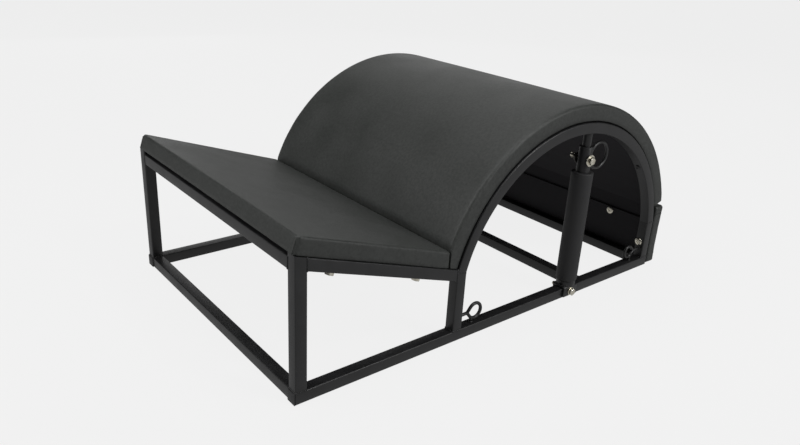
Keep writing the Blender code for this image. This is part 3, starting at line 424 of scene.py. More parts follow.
METAL = {"Metallic": 1.0}
FINISHES = {
    "frame_paint": powder_coat(),
    "pad_vinyl": vinyl(),
    # Stained black, with a long faint grain along Y
    "board_plywood": mottled(
        "black_stained_plywood", (3, 6, 0.6), ((0.010, 0.009, 0.011), (0.019, 0.017, 0.020)),
        (0.55, 0.72), (0.3, 0.0004), stretch=(60, 3, 60), plain={"Specular IOR Level": 0.25}),
    # Closed cell foam, fine and matt
    "grip_foam": mottled(
        "black_foam_rubber", (60, 4), ((0.015, 0.015, 0.016), (0.023, 0.023, 0.024)),
        (0.55, 0.70), (0.4, 0.0003), pores=1400),
    # A little warm, with rub marks and darker patches
    "fastener_zinc": mottled(
        "bright_zinc_plate", (260, 5), ((0.62, 0.58, 0.48), (0.92, 0.89, 0.78)),
        (0.14, 0.34), (0.1, 0.0002), plain=METAL),
    # A light spark texture from the mould
    "plug_plastic": mottled(
        "moulded_black_plastic", (700, 3), ((0.014, 0.014, 0.015), (0.024, 0.024, 0.025)),
        (0.42, 0.60), (0.3, 0.0002))}
# Painted shade: a darker copy of the zinc for the nuts, which face the dark inside of the frame
SHADED_NUT_ZINC = mottled(
    "shaded_nut_zinc_plate", (300, 5), ((0.045, 0.043, 0.040), (0.13, 0.125, 0.115)),
    (0.40, 0.60), (0.2, 0.0002), plain=METAL)


# Pieces


def add_object(name, bm, finish=None):
    """An object from a bmesh, which is used up."""
    mesh = bpy.data.meshes.new(name)
    bm.to_mesh(mesh)
    bm.free()
    if finish:
        mesh.materials.append(finish)
    obj = bpy.data.objects.new(name, mesh)
    bpy.context.scene.collection.objects.link(obj)
    return obj


def face_outwards(bm):
    bmesh.ops.recalc_face_normals(bm, faces=bm.faces[:])
    return bm


def smooth_up_to(obj, angle):
    obj.data.shade_smooth()
    obj.data.set_sharp_from_angle(angle=angle)


def add_piece(name, bm, slot, node=None, body="frame", sharp=SHARP_OVER):
    """A finished piece from a bmesh, in its material slot, on its body and over its node."""
    obj = add_object(name, face_outwards(bm), FINISHES[slot])
    smooth_up_to(obj, sharp)
    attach(obj, body)
    if node:
        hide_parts(node)
    return obj


def paint_solids():
    """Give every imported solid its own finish."""
    for part in frame["record"]["subparts"]:
        materials = frame["nodes"][part["node"]].data.materials
        materials.clear()
        materials.append(FINISHES[part["material_slot"]])


def frame_on(point, x, y, z):
    """A matrix that puts the origin at a point and the axes along three directions."""
    return Matrix.Translation(point) @ Matrix((x, y, z)).transposed().to_4x4()


def frame_at(point, axis, across):
    """A matrix that puts the origin at a point, +Z along axis and +X along across."""
    z = axis.normalized()
    x = (across - z * across.dot(z)).normalized()
    return frame_on(point, x, z.cross(x), z)


def arch_direction(angle):
    """Outward direction on the arch; the angle starts at the rear and rises to the front."""
    return Vector((math.cos(angle), 0, math.sin(angle)))


def arch_point(radius, angle, y=0.0):
    return ARCH_CENTRE + arch_direction(angle) * radius + ACROSS * y


def arch_underside(from_front):
    """Height of the bow's underside at a distance from the front."""
    reach = from_front - ARCH_CENTRE_FROM_FRONT
    return ARCH_CENTRE_HEIGHT + math.sqrt(ARCH_INNER ** 2 - reach ** 2)


def seat_height(from_front):
    return SEAT_FRONT_HEIGHT - from_front * math.tan(SEAT_SLOPE)


def spot(from_front, y, height):
    """A point by its distance from the front."""
    return Vector((FRONT + from_front, y, height))


def seat_point(from_front, y=0.0, lift=0.0):
    """A point on the seat rails' top plane, lifted square to it."""
    return spot(from_front, y, seat_height(from_front)) + SEAT_NORMAL * lift


def rail_point(from_front, y):
    """A point on a seat rail's centreline."""
    return spot(from_front, y, seat_height(from_front) - SLOPED_HALF)


BOW_OVER_HANDLE = arch_underside(HANDLE_FROM_FRONT)
CORE_TOP = BOW_OVER_HANDLE - SPIGOT_SHOWS
WEB_TOP = ON_RAIL + SADDLE_PLATE
SOCKET_TOP = WEB_TOP + SOCKET_HEIGHT
# Name, height, half the width gripped, washer radius, thread past the nut, turn in degrees
CROSS_BOLTS = (
    ("handle_top", CORE_TOP - TOP_BOLT_BELOW_CORE_TOP, CORE_RADIUS, 0.011, 0.0097, 19),
    ("handle_foot", 0.0122, HALF + FIT + SADDLE_PLATE, 0.008, 0.006, 8))
# Name, leg face, direction away from it and radius of each pair of bent eyes
EYES = (
    ("front_eye_", ARCH_LEG_CENTRE + HALF, 1, 0.014),
    ("rear_eye_", REAR_LEG_CENTRE - HALF, -1, 0.012))


# Shapes


def put(bm, place):
    bmesh.ops.transform(bm, matrix=place, verts=bm.verts[:])
    return bm


def join(bm, other):
    """Add the shape in another bmesh to this one."""
    mesh = bpy.data.meshes.new("joined")
    other.to_mesh(mesh)
    other.free()
    bm.from_mesh(mesh)
    bpy.data.meshes.remove(mesh)


def soften(bm, edges, width, segments):
    bmesh.ops.bevel(
        bm, geom=edges, offset=width, offset_type="OFFSET", segments=segments, profile=0.5,
        affect="EDGES", material=-1)


def round_corners(bm, verts, radius, segments):
    bmesh.ops.bevel(
        bm, geom=verts, offset=radius, offset_type="OFFSET", segments=segments, profile=0.5,
        affect="VERTICES", material=-1)


def edges_at(bm, axis, reach):
    """Edges that lie in the plane square to axis at a reach along it."""
    return [
        edge for edge in bm.edges
        if all(abs(vert.co.dot(axis) - reach) < TOUCHING for vert in edge.verts)]


def grow(bm, faces, move):
    """Extrude faces by a move, and give back the vertices of the new end."""
    grown = bmesh.ops.extrude_face_region(bm, geom=faces)["geom"]
    verts = [item for item in grown if isinstance(item, bmesh.types.BMVert)]
    bmesh.ops.translate(bm, vec=move, verts=verts)
    return verts


def sweep(bm, centre, angle, steps, close=False):
    """Sweep a shape round a centre in the upright plane along X, rising from +X to +Z."""
    bmesh.ops.spin(
        bm, geom=bm.verts[:] + bm.edges[:] + bm.faces[:], cent=centre, axis=(0, -1, 0),
        angle=angle, steps=steps, use_merge=close)
    return bm


def turned(outline, steps):
    """A closed solid turned about Z from an outline of (radius, height) points."""
    bm = bmesh.new()
    verts = [bm.verts.new((radius, 0, height)) for radius, height in outline]
    closed = outline[0][0] > 0
    pairs = zip(verts, verts[1:] + verts[:1]) if closed else zip(verts, verts[1:])
    edges = [bm.edges.new(pair) for pair in pairs]
    bmesh.ops.spin(
        bm, geom=verts + edges, cent=(0, 0, 0), axis=(0, 0, 1), angle=math.tau, steps=steps,
        use_merge=True)
    bmesh.ops.remove_doubles(bm, verts=bm.verts[:], dist=0.000005)
    return bm


def round_bar(radius, low, high, steps=SMALL_ROUND_STEPS):
    return turned([(0, low), (radius, low), (radius, high), (0, high)], steps)


def pipe(inner, outer, low, high, edge, steps=ROUND_STEPS):
    """A round pipe with its outer edges broken."""
    return turned([
        (inner, low), (outer - edge, low), (outer - edge * 0.3, low + edge * 0.3),
        (outer, low + edge), (outer, high - edge), (outer - edge * 0.3, high - edge * 0.3),
        (outer - edge, high), (inner, high)], steps)


def block(size, centre=(0, 0, 0)):
    """A plain box by its size and centre."""
    bm = bmesh.new()
    bmesh.ops.create_cube(bm, size=1)
    bmesh.ops.scale(bm, vec=size, verts=bm.verts[:])
    bmesh.ops.translate(bm, vec=centre, verts=bm.verts[:])
    return bm


def box_between(low, high):
    """A plain box by two opposite corners."""
    low = Vector(low)
    high = Vector(high)
    return block(high - low, (low + high) / 2)


def rectangle(low, high, half):
    """One face from low to high in X, centred in Y."""
    bm = bmesh.new()
    bmesh.ops.create_grid(bm, x_segments=1, y_segments=1, size=0.5)
    bmesh.ops.scale(bm, vec=(high - low, 2 * half, 1), verts=bm.verts[:])
    bmesh.ops.translate(bm, vec=((low + high) / 2, 0, 0), verts=bm.verts[:])
    return bm


# Square tubes


def tube_end(place):
    """The cut end of the square tube: a ring of faces with round corners."""
    bm = rectangle(-HALF, HALF, HALF)
    round_corners(bm, bm.verts[:], TUBE_CORNER, 4)
    face = bm.faces[:][0]
    bmesh.ops.inset_region(
        bm, faces=[face], thickness=TUBE_WALL, use_even_offset=True, use_boundary=True)
    bmesh.ops.delete(bm, geom=[face], context="FACES_ONLY")
    return put(bm, place)


def square_tube(name, start, end, start_face=None, end_face=None, across=ACROSS):
    """An open-ended tube between two points, its ends cut to the given faces."""
    along = (end - start).normalized()
    bm = tube_end(frame_at(start, along, across))
    lower = bm.verts[:]
    upper = grow(bm, bm.faces[:], end - start)
    for verts, point, face in ((lower, start, start_face), (upper, end, end_face)):
        normal = face or along
        for vert in verts:
            vert.co += along * ((point - vert.co).dot(normal) / along.dot(normal))
    add_piece("tube_" + name, bm, "frame_paint", name)


def cross_bar(name, from_front, height):
    reach = BETWEEN_RAILS - FIT
    square_tube(
        name, spot(from_front, -reach, height), spot(from_front, reach, height), across=ALONG)


def bow_end(outward):
    """Direction of the bow's tube where it ends, square to the outward direction."""
    return Vector((-outward.z, 0, outward.x))


def leg_top(foot, outward):
    """Top of a leg's centreline, a fit below the bow's end face."""
    normal = bow_end(outward)
    point = ARCH_CENTRE - normal * math.copysign(FIT, normal.z)
    height = point.z - (foot.x - point.x) * normal.x / normal.z
    return Vector((foot.x, foot.y, height))


def make_base():
    for side, sign in SIDES:
        y = sign * SIDE
        square_tube("base_rail_" + side, spot(FIT, y, HALF), spot(BASE_LENGTH, y, HALF))
    cross_bar("base_front_bar", HALF, HALF)
    cross_bar("base_middle_bar", MIDDLE_BAR_FROM_FRONT + HALF, HALF)
    cross_bar("base_rear_bar", REAR_LEG_CENTRE, HALF)


def make_uprights():
    for side, sign in SIDES:
        y = sign * SIDE
        square_tube(
            "front_leg_" + side, spot(HALF, y, ON_RAIL), spot(HALF, y, seat_height(HALF)),
            end_face=SEAT_NORMAL)
        square_tube(
            "seat_rail_" + side, rail_point(TUBE + FIT, y),
            rail_point(ARCH_LEG_CENTRE - HALF - FIT, y), start_face=ALONG, end_face=ALONG)
        for name, centre, angle in (
                ("arch_leg_", ARCH_LEG_CENTRE, ARCH_FRONT_ANGLE),
                ("rear_leg_", REAR_LEG_CENTRE, ARCH_REAR_ANGLE)):
            foot = spot(centre, y, ON_RAIL)
            outward = arch_direction(angle)
            square_tube(name + side, foot, leg_top(foot, outward), end_face=bow_end(outward))
    cross_bar("seat_front_bar", HALF, seat_height(TUBE) - HALF)


def make_bows():
    outward = arch_direction(ARCH_REAR_ANGLE)
    for side, sign in SIDES:
        start = arch_point(ARCH_TUBE_CENTRE, ARCH_REAR_ANGLE, sign * SIDE)
        bm = tube_end(frame_at(start, bow_end(outward), outward))
        sweep(bm, ARCH_CENTRE, ARCH_FRONT_ANGLE - ARCH_REAR_ANGLE, BOW_STEPS)
        add_piece("bow_" + side, bm, "frame_paint", "arch_bow_" + side)


def make_plugs():
    """Plastic plugs in the front ends of the base rails: soft-edged flange, hollow tail."""
    tail = TUBE - 2 * (TUBE_WALL + FIT)
    for side, sign in SIDES:
        bm = block((PLUG_FLANGE, TUBE, TUBE), (-PLUG_FLANGE / 2, 0, 0))
        soften(bm, bm.edges[:], PLUG_EDGE, 3)
        inner = face_outwards(block((PLUG_DEPTH, tail, tail), (PLUG_DEPTH / 2, 0, 0)))
        rim = next(face for face in inner.faces if face.normal.x > 0.9)
        bmesh.ops.inset_region(inner, faces=[rim], thickness=PLUG_WALL, use_even_offset=True)
        grow(inner, [rim], (PLUG_END - PLUG_DEPTH, 0, 0))
        bmesh.ops.delete(inner, geom=[rim], context="FACES_ONLY")
        join(bm, inner)
        put(bm, Matrix.Translation((FRONT, sign * SIDE, HALF)))
        add_piece("plug_" + side, bm, "plug_plastic", "end_plug_" + side)


# Weld beads


def lay_bead(bm, points, radius=BEAD_RADIUS):
    """A weld bead along a line of points: short ripples of weld metal laid over each other."""
    bead = bmesh.new()
    for start, end in zip(points, points[1:]):
        length = (end - start).length
        count = max(1, round(length / BEAD_PITCH))
        for step in range(count):
            at = start.lerp(end, (step + 0.5) / count)
            size = radius * (1 + BEAD_WAVER * terrain.noise(at * BEAD_WAVER_SCALE))
            bmesh.ops.create_uvsphere(
                bead, u_segments=6, v_segments=4, radius=size, matrix=Matrix.Translation(at))
    join(bm, bead)


def square_path(centre, first, second):
    """Corners round a square joint, from its centre and its two half sides."""
    corners = [centre + first * a + second * b for a, b in ((-1, -1), (1, -1), (1, 1), (-1, 1))]
    return corners + corners[:1]


def round_path(centre, first, second, steps):
    angles = [math.tau * step / steps for step in range(steps + 1)]
    return [centre + first * math.cos(angle) + second * math.sin(angle) for angle in angles]


def weld_base(bm, y, inner):
    """Legs on a rail, bars between the rails, and the saddle's socket and eyes on the rail."""
    sunk = HALF - BEAD_SUNK
    corners = ((-1, -HALF * 0.7), (-1, sunk), (1, sunk), (1, -HALF * 0.7))
    for from_front in (HALF, ARCH_LEG_CENTRE, REAR_LEG_CENTRE):
        centre = spot(from_front, y, ON_RAIL - FIT / 2)
        lay_bead(bm, square_path(centre, ALONG * sunk, ACROSS * sunk))
    for from_front in (HALF, MIDDLE_BAR_FROM_FRONT + HALF, REAR_LEG_CENTRE):
        at = spot(from_front, inner, HALF)
        lay_bead(bm, [at + ALONG * a * sunk + UP * b for a, b in corners])
    socket = CORE_RADIUS + FIT + SOCKET_WALL
    for middle in (-180, 0):
        around = [math.radians(middle + turn) for turn in range(-45, 46, 15)]
        lay_bead(bm, [
            Vector((HANDLE_X + socket * math.cos(turn), y + socket * math.sin(turn), WEB_TOP))
            for turn in around])
    for centre, first, second in eye_feet(y):
        lay_bead(bm, round_path(centre, first * ROD_RADIUS, second * ROD_RADIUS, 8))


def weld_seat(bm, y, inner):
    """The front bar between the legs, and both ends of a seat rail."""
    sunk = HALF - BEAD_SUNK
    at = spot(HALF, inner, seat_height(TUBE) - HALF)
    lay_bead(bm, square_path(at, ALONG * sunk, UP * sunk))
    for from_front in (TUBE + FIT / 2, ARCH_LEG_CENTRE - HALF - FIT / 2):
        at = rail_point(from_front, y)
        lay_bead(bm, square_path(at, ACROSS * sunk, UP * (SLOPED_HALF - BEAD_SUNK)))


def weld_arch(bm, y):
    """Both ends of a bow, the spigot under it, and the ring on its post."""
    sunk = HALF - BEAD_SUNK
    for angle in (ARCH_FRONT_ANGLE, ARCH_REAR_ANGLE):
        at = arch_point(ARCH_TUBE_CENTRE, angle, y)
        path = square_path(at, arch_direction(angle) * sunk, ACROSS * sunk)
        lay_bead(bm, path, BEAD_RADIUS * 0.7)
    at = Vector((HANDLE_X, y, BOW_OVER_HANDLE))
    lay_bead(bm, round_path(at, ALONG * SPIGOT_RADIUS, ACROSS * SPIGOT_RADIUS, 24))
    at = Vector((HANDLE_X + CORE_RADIUS, y, CORE_TOP - RING_BELOW_CORE_TOP))
    reach = UP * RING_WELD_REACH
    lay_bead(bm, [at + reach, at - reach], ROD_RADIUS * 0.9)


def make_welds():
    base = bmesh.new()
    seat = bmesh.new()
    arch = bmesh.new()
    for _, sign in SIDES:
        weld_base(base, sign * SIDE, sign * BETWEEN_RAILS)
        weld_seat(seat, sign * SIDE, sign * BETWEEN_RAILS)
        weld_arch(arch, sign * SIDE)
    for name, bm in (("welds_base", base), ("welds_seat", seat), ("welds_arch", arch)):
        add_piece(name, bm, "frame_paint", sharp=SHARP_OVER_ON_BEADS)


# Bent eyes


def eye_feet(y):
    """Where the eyes are welded, each as a centre and the two directions round it."""
    feet = []
    for _, leg_face, way, _ in EYES:
        face = spot(leg_face, y, EYE_HEIGHT)
        feet.append((face, ACROSS, UP))
        tail = face + ALONG * way * (EYE_FROM_LEG - EYE_TAIL_OFFSET)
        feet.append((Vector((tail.x, y, ON_RAIL)), ALONG, ACROSS))
    return feet


def rod(start, end):
    """A round rod with rounded ends between two points."""
    length = (end - start).length
    slant = ROD_RADIUS * 0.7
    bm = turned([
        (0, -ROD_RADIUS), (slant, -slant), (ROD_RADIUS, 0),
        (ROD_RADIUS, length), (slant, length + slant), (0, length + ROD_RADIUS)], ROD_SIDES)
    return put(bm, frame_at(start, end - start, ACROSS))


def rod_arc(centre, radius, start, angle, steps, sides):
    """A rod bent round a centre in an upright plane, angles rising from +X to +Z."""
    bm = bmesh.new()
    direction = arch_direction(start)
    place = frame_at(centre + direction * radius, bow_end(direction), direction)
    whole = abs(angle) > math.tau - 0.001
    bmesh.ops.create_circle(
        bm, cap_ends=not whole, segments=sides, radius=ROD_RADIUS, matrix=place)
    return sweep(bm, centre, angle, steps, close=whole)


def make_eyes():
    for prefix, leg_face, way, radius in EYES:
        for side, sign in SIDES:
            face = spot(leg_face, sign * SIDE, EYE_HEIGHT)
            away = ALONG * way
            centre = face + away * EYE_FROM_LEG
            point = face + away * EYE_POINT_FROM_LEG
            half = math.pi - math.acos(radius / (EYE_FROM_LEG - EYE_POINT_FROM_LEG))
            facing = 0 if way > 0 else math.pi
            bm = rod_arc(centre, radius, facing - half, 2 * half, EYE_BEND_STEPS, ROD_SIDES)
            for turn in (-half, half):
                leaves = centre + arch_direction(facing + turn) * radius
                join(bm, rod(point, leaves))
            join(bm, rod(face + away * (FIT + ROD_RADIUS), point))
            drop = math.sqrt(radius ** 2 - EYE_TAIL_OFFSET ** 2)
            tail = centre - away * EYE_TAIL_OFFSET
            join(bm, rod(Vector((tail.x, tail.y, ON_RAIL + ROD_RADIUS)), tail - UP * drop))
            add_piece("bent_" + prefix + side, bm, "frame_paint", prefix + side)


# Handle posts


def make_handles():
    reach = CORE_RADIUS + FIT + ROD_RADIUS + RING_RADIUS
    for side, sign in SIDES:
        y = sign * SIDE
        stand = Matrix.Translation((HANDLE_X, y, 0))
        ring_centre = Vector((HANDLE_X + reach, y, CORE_TOP - RING_BELOW_CORE_TOP))
        spigot = round_bar(
            SPIGOT_RADIUS, BOW_OVER_HANDLE - SPIGOT_LENGTH, BOW_OVER_HANDLE + TUBE_WALL / 2, 40)
        core = pipe(SPIGOT_RADIUS + FIT, CORE_RADIUS, WEB_TOP + FIT, CORE_TOP, CORE_EDGE)
        ring = rod_arc(ring_centre, RING_RADIUS, 0, math.tau, RING_BEND_STEPS, RING_SIDES)
        add_piece("spigot_" + side, put(spigot, stand), "frame_paint", "handle_spigot_" + side)
        add_piece("core_" + side, put(core, stand), "frame_paint", "handle_core_" + side)
        add_piece(
            "foam_" + side, put(grip_sleeve(), stand), "grip_foam", "grip_" + side,
            body=side + "_grip")
        add_piece("ring_" + side, ring, "frame_paint", "handle_ring_" + side)
        make_saddle(side, y)


def grip_sleeve():
    """The foam sleeve, its ends rounded and its wall a little uneven."""
    low = SOCKET_TOP + FIT
    high = CORE_TOP - GRIP_BELOW_CORE_TOP
    inner = CORE_RADIUS + GRIP_RUNNING
    shoulder = GRIP_RADIUS - GRIP_EDGE
    outline = [(inner, low), (shoulder, low)]
    outline += [
        (shoulder + GRIP_EDGE * math.sin(turn), low + GRIP_EDGE - GRIP_EDGE * math.cos(turn))
        for turn in (0.5, 1.0, math.pi / 2)]
    for step in range(1, GRIP_SLICES):
        height = low + GRIP_EDGE + (high - low - 2 * GRIP_EDGE) * step / GRIP_SLICES
        waver = GRIP_WAVER * (1 + terrain.noise(Vector((0, 0, height * 60))))
        outline.append((GRIP_RADIUS - waver, height))
    outline += [
        (shoulder + GRIP_EDGE * math.cos(turn), high - GRIP_EDGE + GRIP_EDGE * math.sin(turn))
        for turn in (0.0, 0.5, 1.0, math.pi / 2)]
    outline.append((inner, high))
    return turned(outline, GRIP_STEPS)


def make_saddle(side, y):
    """U-shaped bracket bent over the rail, with the round socket for the post's foot."""
    inner = HALF + FIT
    outer = inner + SADDLE_PLATE
    foot = SADDLE_OVER_FLOOR
    start = HANDLE_X - SADDLE_LENGTH / 2
    corners = (
        (-outer, foot), (-outer, WEB_TOP), (outer, WEB_TOP), (outer, foot),
        (inner, foot), (inner, ON_RAIL), (-inner, ON_RAIL), (-inner, foot))
    bm = bmesh.new()
    verts = [bm.verts.new((start, y + across, height)) for across, height in corners]
    bm.faces.new(verts)
    round_corners(bm, verts[1:3], SADDLE_BEND, 5)
    grow(bm, bm.faces[:], (SADDLE_LENGTH, 0, 0))
    soften(bm, [edge for edge in bm.edges if edge.calc_face_angle(0) > 1.0], SADDLE_EDGE, 2)
    bore = CORE_RADIUS + FIT
    socket = pipe(bore, bore + SOCKET_WALL, WEB_TOP - 0.001, SOCKET_TOP, SOCKET_EDGE)
    join(bm, put(socket, Matrix.Translation((HANDLE_X, y, 0))))
    add_piece("saddle_" + side, bm, "frame_paint", "handle_saddle_" + side)


# Fasteners, each made along +Z with the underside of its head or nut at the origin


def hex_block(height):
    """A hexagonal block with its outer corners turned off, from -height up to the origin."""
    bm = bmesh.new()
    bmesh.ops.create_circle(bm, cap_ends=True, segments=6, radius=BOLT_FLATS / math.sqrt(3))
    bmesh.ops.translate(bm, vec=(0, 0, -height), verts=bm.verts[:])
    grow(bm, bm.faces[:], (0, 0, height))
    soften(bm, edges_at(bm, UP, -height), HEX_CHAMFER, 3)
    return bm


def thread(low, high):
    """A threaded length of a bolt, with its end broken."""
    root = BOLT_RADIUS * THREAD_ROOT
    outline = [(0, low), (root, low)]
    height = low
    while height + THREAD_PITCH < high:
        outline.append((BOLT_RADIUS, height + THREAD_PITCH / 2))
        height += THREAD_PITCH
        outline.append((root, height))
    outline += [(BOLT_RADIUS * THREAD_TIP, high), (0, high)]
    return turned(outline, SMALL_ROUND_STEPS)


def make_cross_bolts(prefix, height, bearing, washer, past_nut, turn):
    """A bolt in from each side along Y, and its nut on the inner side, each with a washer."""
    seat = bearing + FIT + WASHER_THICKNESS
    turn = Matrix.Rotation(math.radians(turn), 4, "Z")
    for side, sign in SIDES:
        centre = Vector((HANDLE_X, sign * SIDE, height))
        outward = ACROSS * sign
        bolt = hex_block(HANDLE_BOLT_HEAD)
        nut = hex_block(HANDLE_NUT_HEIGHT)
        join(bolt, round_bar(BOLT_RADIUS, -HANDLE_BOLT_HEAD / 2, 2 * seat))
        join(bolt, thread(2 * seat, 2 * seat + HANDLE_NUT_HEIGHT + past_nut))
        for bm in (bolt, nut):
            join(bm, pipe(BOLT_RADIUS, washer, 0, WASHER_THICKNESS, WASHER_EDGE, 40))
        put(bolt, frame_at(centre + outward * seat, -outward, ALONG) @ turn)
        put(nut, frame_at(centre - outward * seat, outward, ALONG) @ turn)
        name = f"{prefix}_bolt_{side}"
        add_piece("zinc_" + name, bolt, "fastener_zinc", name)
        name = f"{prefix}_nut_{side}"
        obj = add_piece("zinc_" + name, nut, "fastener_zinc", name)
        # The nut takes the darker zinc copy, painted shade for the dark inside it faces
        obj.data.materials[0] = SHADED_NUT_ZINC


def dome_head(radius, height, shank, length):
    """A screw with a low round head on a thin rim."""
    outline = [(0, length), (shank, length), (shank, 0), (radius, 0), (radius, -HEAD_RIM)]
    for step in range(1, HEAD_SLICES):
        turn = math.pi / 2 * step / HEAD_SLICES
        outline.append((
            radius * 0.97 * math.cos(turn) ** 0.8,
            -HEAD_RIM - (height - HEAD_RIM) * math.sin(turn)))
    outline.append((0, -height))
    return turned(outline, HEAD_STEPS)


def place_copies(base, slot, places):
    """Pieces that are copies of one shape, then the shape itself is dropped."""
    for name, node, place in places:
        bm = bmesh.new()
        bm.from_mesh(base.data)
        add_piece(name, put(bm, place), slot, node)
    mesh = base.data
    bpy.data.objects.remove(base)
    bpy.data.meshes.remove(mesh)


def place_screws(radius, height, shank, length, places):
    """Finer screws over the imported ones, their crossed recess cut once."""
    base = add_object("loose", face_outwards(dome_head(radius, height, shank, length)))
    for turn in (0, math.pi / 2):
        slot = block((radius * 0.95, radius * 0.2, height * 1.1), (0, 0, -height))
        cut_away(base, put(slot, Matrix.Rotation(turn, 4, "Z")))
    place_copies(base, "fastener_zinc", [
        ("head_" + node, node, place @ Matrix.Rotation(spin, 4, "Z"))
        for node, place, spin in places])


def make_screws():
    barrel = []
    liner = []
    rear = []
    liner_face = REAR_BOARD_FRONT - 2 * FIT - LINER_BOARD
    leg_face = REAR_LEG_CENTRE - HALF - FIT
    liner_height = LINER_TOP - LINER_SCREW_BELOW_TOP
    for side, sign in SIDES:
        for end, angle in zip(("front", "rear"), BARREL_SCREW_ANGLES):
            at = arch_point(ARCH_RADIUS, angle, sign * BARREL_SCREW_SIDE)
            place = frame_at(at, arch_direction(angle), ACROSS)
            barrel.append((f"barrel_screw_{end}_{side}", place, BARREL_SCREW_TURN * sign))
        at = spot(liner_face, sign * LINER_SCREW_SIDE, liner_height)
        place = frame_at(at, ALONG, ACROSS)
        liner.append(("liner_screw_" + side, place, LINER_SCREW_TURN * sign))
        at = spot(leg_face, sign * (SIDE - REAR_BOLT_INBOARD), REAR_BOLT_HEIGHT)
        place = frame_at(at, ALONG, ACROSS)
        rear.append(("rear_pad_bolt_" + side, place, REAR_BOLT_TURN * sign))
    into_board = FIT + SCREW_INTO_BOARD
    place_screws(*BOARD_SCREW, into_board, barrel)
    place_screws(*BOARD_SCREW, into_board + LINER_BOARD + FIT, liner)
    place_screws(*REAR_BOLT, into_board + TUBE + FIT, rear)


def make_seat_bolts():
    length = TUBE + 2 * FIT + SEAT_BOLT_INTO_BOARD
    for side, sign in SIDES:
        y = sign * (SIDE - SEAT_BOLT_INBOARD)
        for end, from_front in zip(("front", "rear"), SEAT_BOLTS_FROM_FRONT):
            bm = hex_block(SEAT_BOLT_HEAD)
            join(bm, round_bar(BOLT_RADIUS, -FIT, length))
            put(bm, frame_at(seat_point(from_front, y, -TUBE - FIT), SEAT_NORMAL, ACROSS))
            node = f"seat_bolt_{end}_{side}"
            add_piece("zinc_" + node, bm, "fastener_zinc", node)


def make_bow_bolts():
    """Black button heads under the bows, which hold the bent board down on them."""
    base = add_object("loose", face_outwards(dome_head(*BOW_BOLT, BOW_BOLT_LENGTH)))
    bm = bmesh.new()
    middle = KEY_DEPTH - BOW_BOLT[1] - KEY_LENGTH / 2
    bmesh.ops.create_cone(
        bm, cap_ends=True, segments=6, radius1=KEY_RADIUS, radius2=KEY_RADIUS, depth=KEY_LENGTH,
        matrix=Matrix.Translation((0, 0, middle)))
    cut_away(base, bm)
    place_copies(base, "frame_paint", [
        (f"bow_bolt_{side}_{number}", None,
         frame_at(arch_point(ARCH_INNER, angle, sign * SIDE), arch_direction(angle), ACROSS))
        for side, sign in SIDES for number, angle in enumerate(BOW_BOLT_ANGLES, 1)])


# Boards


def arch_slab(inner, outer, half, start, end, corner):
    """A slab bent round the arch, between two radii and two angles."""
    bm = bmesh.new()
    corners = ((inner, -half), (outer, -half), (outer, half), (inner, half))
    verts = [bm.verts.new(arch_point(radius, start, y)) for radius, y in corners]
    bm.faces.new(verts)
    if corner:
        round_corners(bm, verts, corner, 2)
    return sweep(bm, ARCH_CENTRE, end - start, BOARD_STEPS)


def make_barrel_board():
    """The bent board, its long edges broken, from behind the rear pad to the seat rails."""
    bm = arch_slab(
        BOARD_INNER_RADIUS, BOARD_OUTER_RADIUS, WIDTH / 2 - BARREL_BOARD_INSET,
        BARREL_BOARD_REAR_ANGLE, BARREL_FRONT_ANGLE, BOARD_EDGE)
    add_piece("bent_board", bm, "board_plywood", "barrel_board")


# Pads


def apply_modifiers(obj):
    """Put what an object's modifiers show into its own mesh."""
    bpy.context.view_layer.update()
    depsgraph = bpy.context.evaluated_depsgraph_get()
    mesh = bpy.data.meshes.new_from_object(obj.evaluated_get(depsgraph))
    old = obj.data
    obj.modifiers.clear()
    obj.data = mesh
    bpy.data.meshes.remove(old)


def cut_away(obj, bm):
    """Cut the shape in a bmesh out of an object."""
    cutter = add_object("loose", face_outwards(bm))
    boolean = obj.modifiers.new("pocket", "BOOLEAN")
    boolean.operation = "DIFFERENCE"
    boolean.solver = "EXACT"
    boolean.object = cutter
    apply_modifiers(obj)
    bpy.data.objects.remove(cutter)


def swell(obj, is_held, cap):
    """Fill a pad: cloth with inner pressure between its held edges, scaled to stay under a cap."""
    start = [vert.co.copy() for vert in obj.data.vertices]
    held = obj.vertex_groups.new(name="held")
    held.add([i for i, place in enumerate(start) if is_held(place)], 1.0, "REPLACE")
    cloth = obj.modifiers.new("filling", "CLOTH")
    settings = cloth.settings
    settings.quality = 5
    settings.mass = 0.3
    settings.use_pressure = True
    settings.uniform_pressure_force = PAD_PRESSURE
    settings.vertex_group_mass = "held"
    settings.effector_weights.gravity = 0
    scene = bpy.context.scene
    for number in range(1, PAD_FRAMES + 1):
        scene.frame_set(number)
    apply_modifiers(obj)
    scene.frame_set(1)
    moves = [vert.co - rest for vert, rest in zip(obj.data.vertices, start)]
    keep = min(1.0, cap / max(move.length for move in moves))
    for vert, rest, move in zip(obj.data.vertices, start, moves):
        vert.co = rest + move * keep
    obj.vertex_groups.clear()


def keep_within(obj, point, normal):
    """Press a pad flat where it would pass a face that it lies against."""
    for vert in obj.data.vertices:
        past = (vert.co - point).dot(normal)
        if past > 0:
            vert.co -= normal * past


def keep_outside(obj, radius):
    """Keep the barrel pad's underside off the bows."""
    for vert in obj.data.vertices:
        flat = Vector((vert.co.x - ARCH_CENTRE.x, 0, vert.co.z - ARCH_CENTRE.z))
        if 0 < flat.length < radius:
            vert.co += flat * (radius / flat.length - 1)


def unevenness(point):
    """A small hand-made waver along a pad's edges."""
    return UNEVENNESS * (terrain.noise(point * 38) + 0.5 * terrain.noise(point * 120))


def window(share_x, share_y):
    """1 over the middle of a face, falling to 0 at its edges."""
    return (1 - share_x ** 4) * (1 - share_y ** 4)


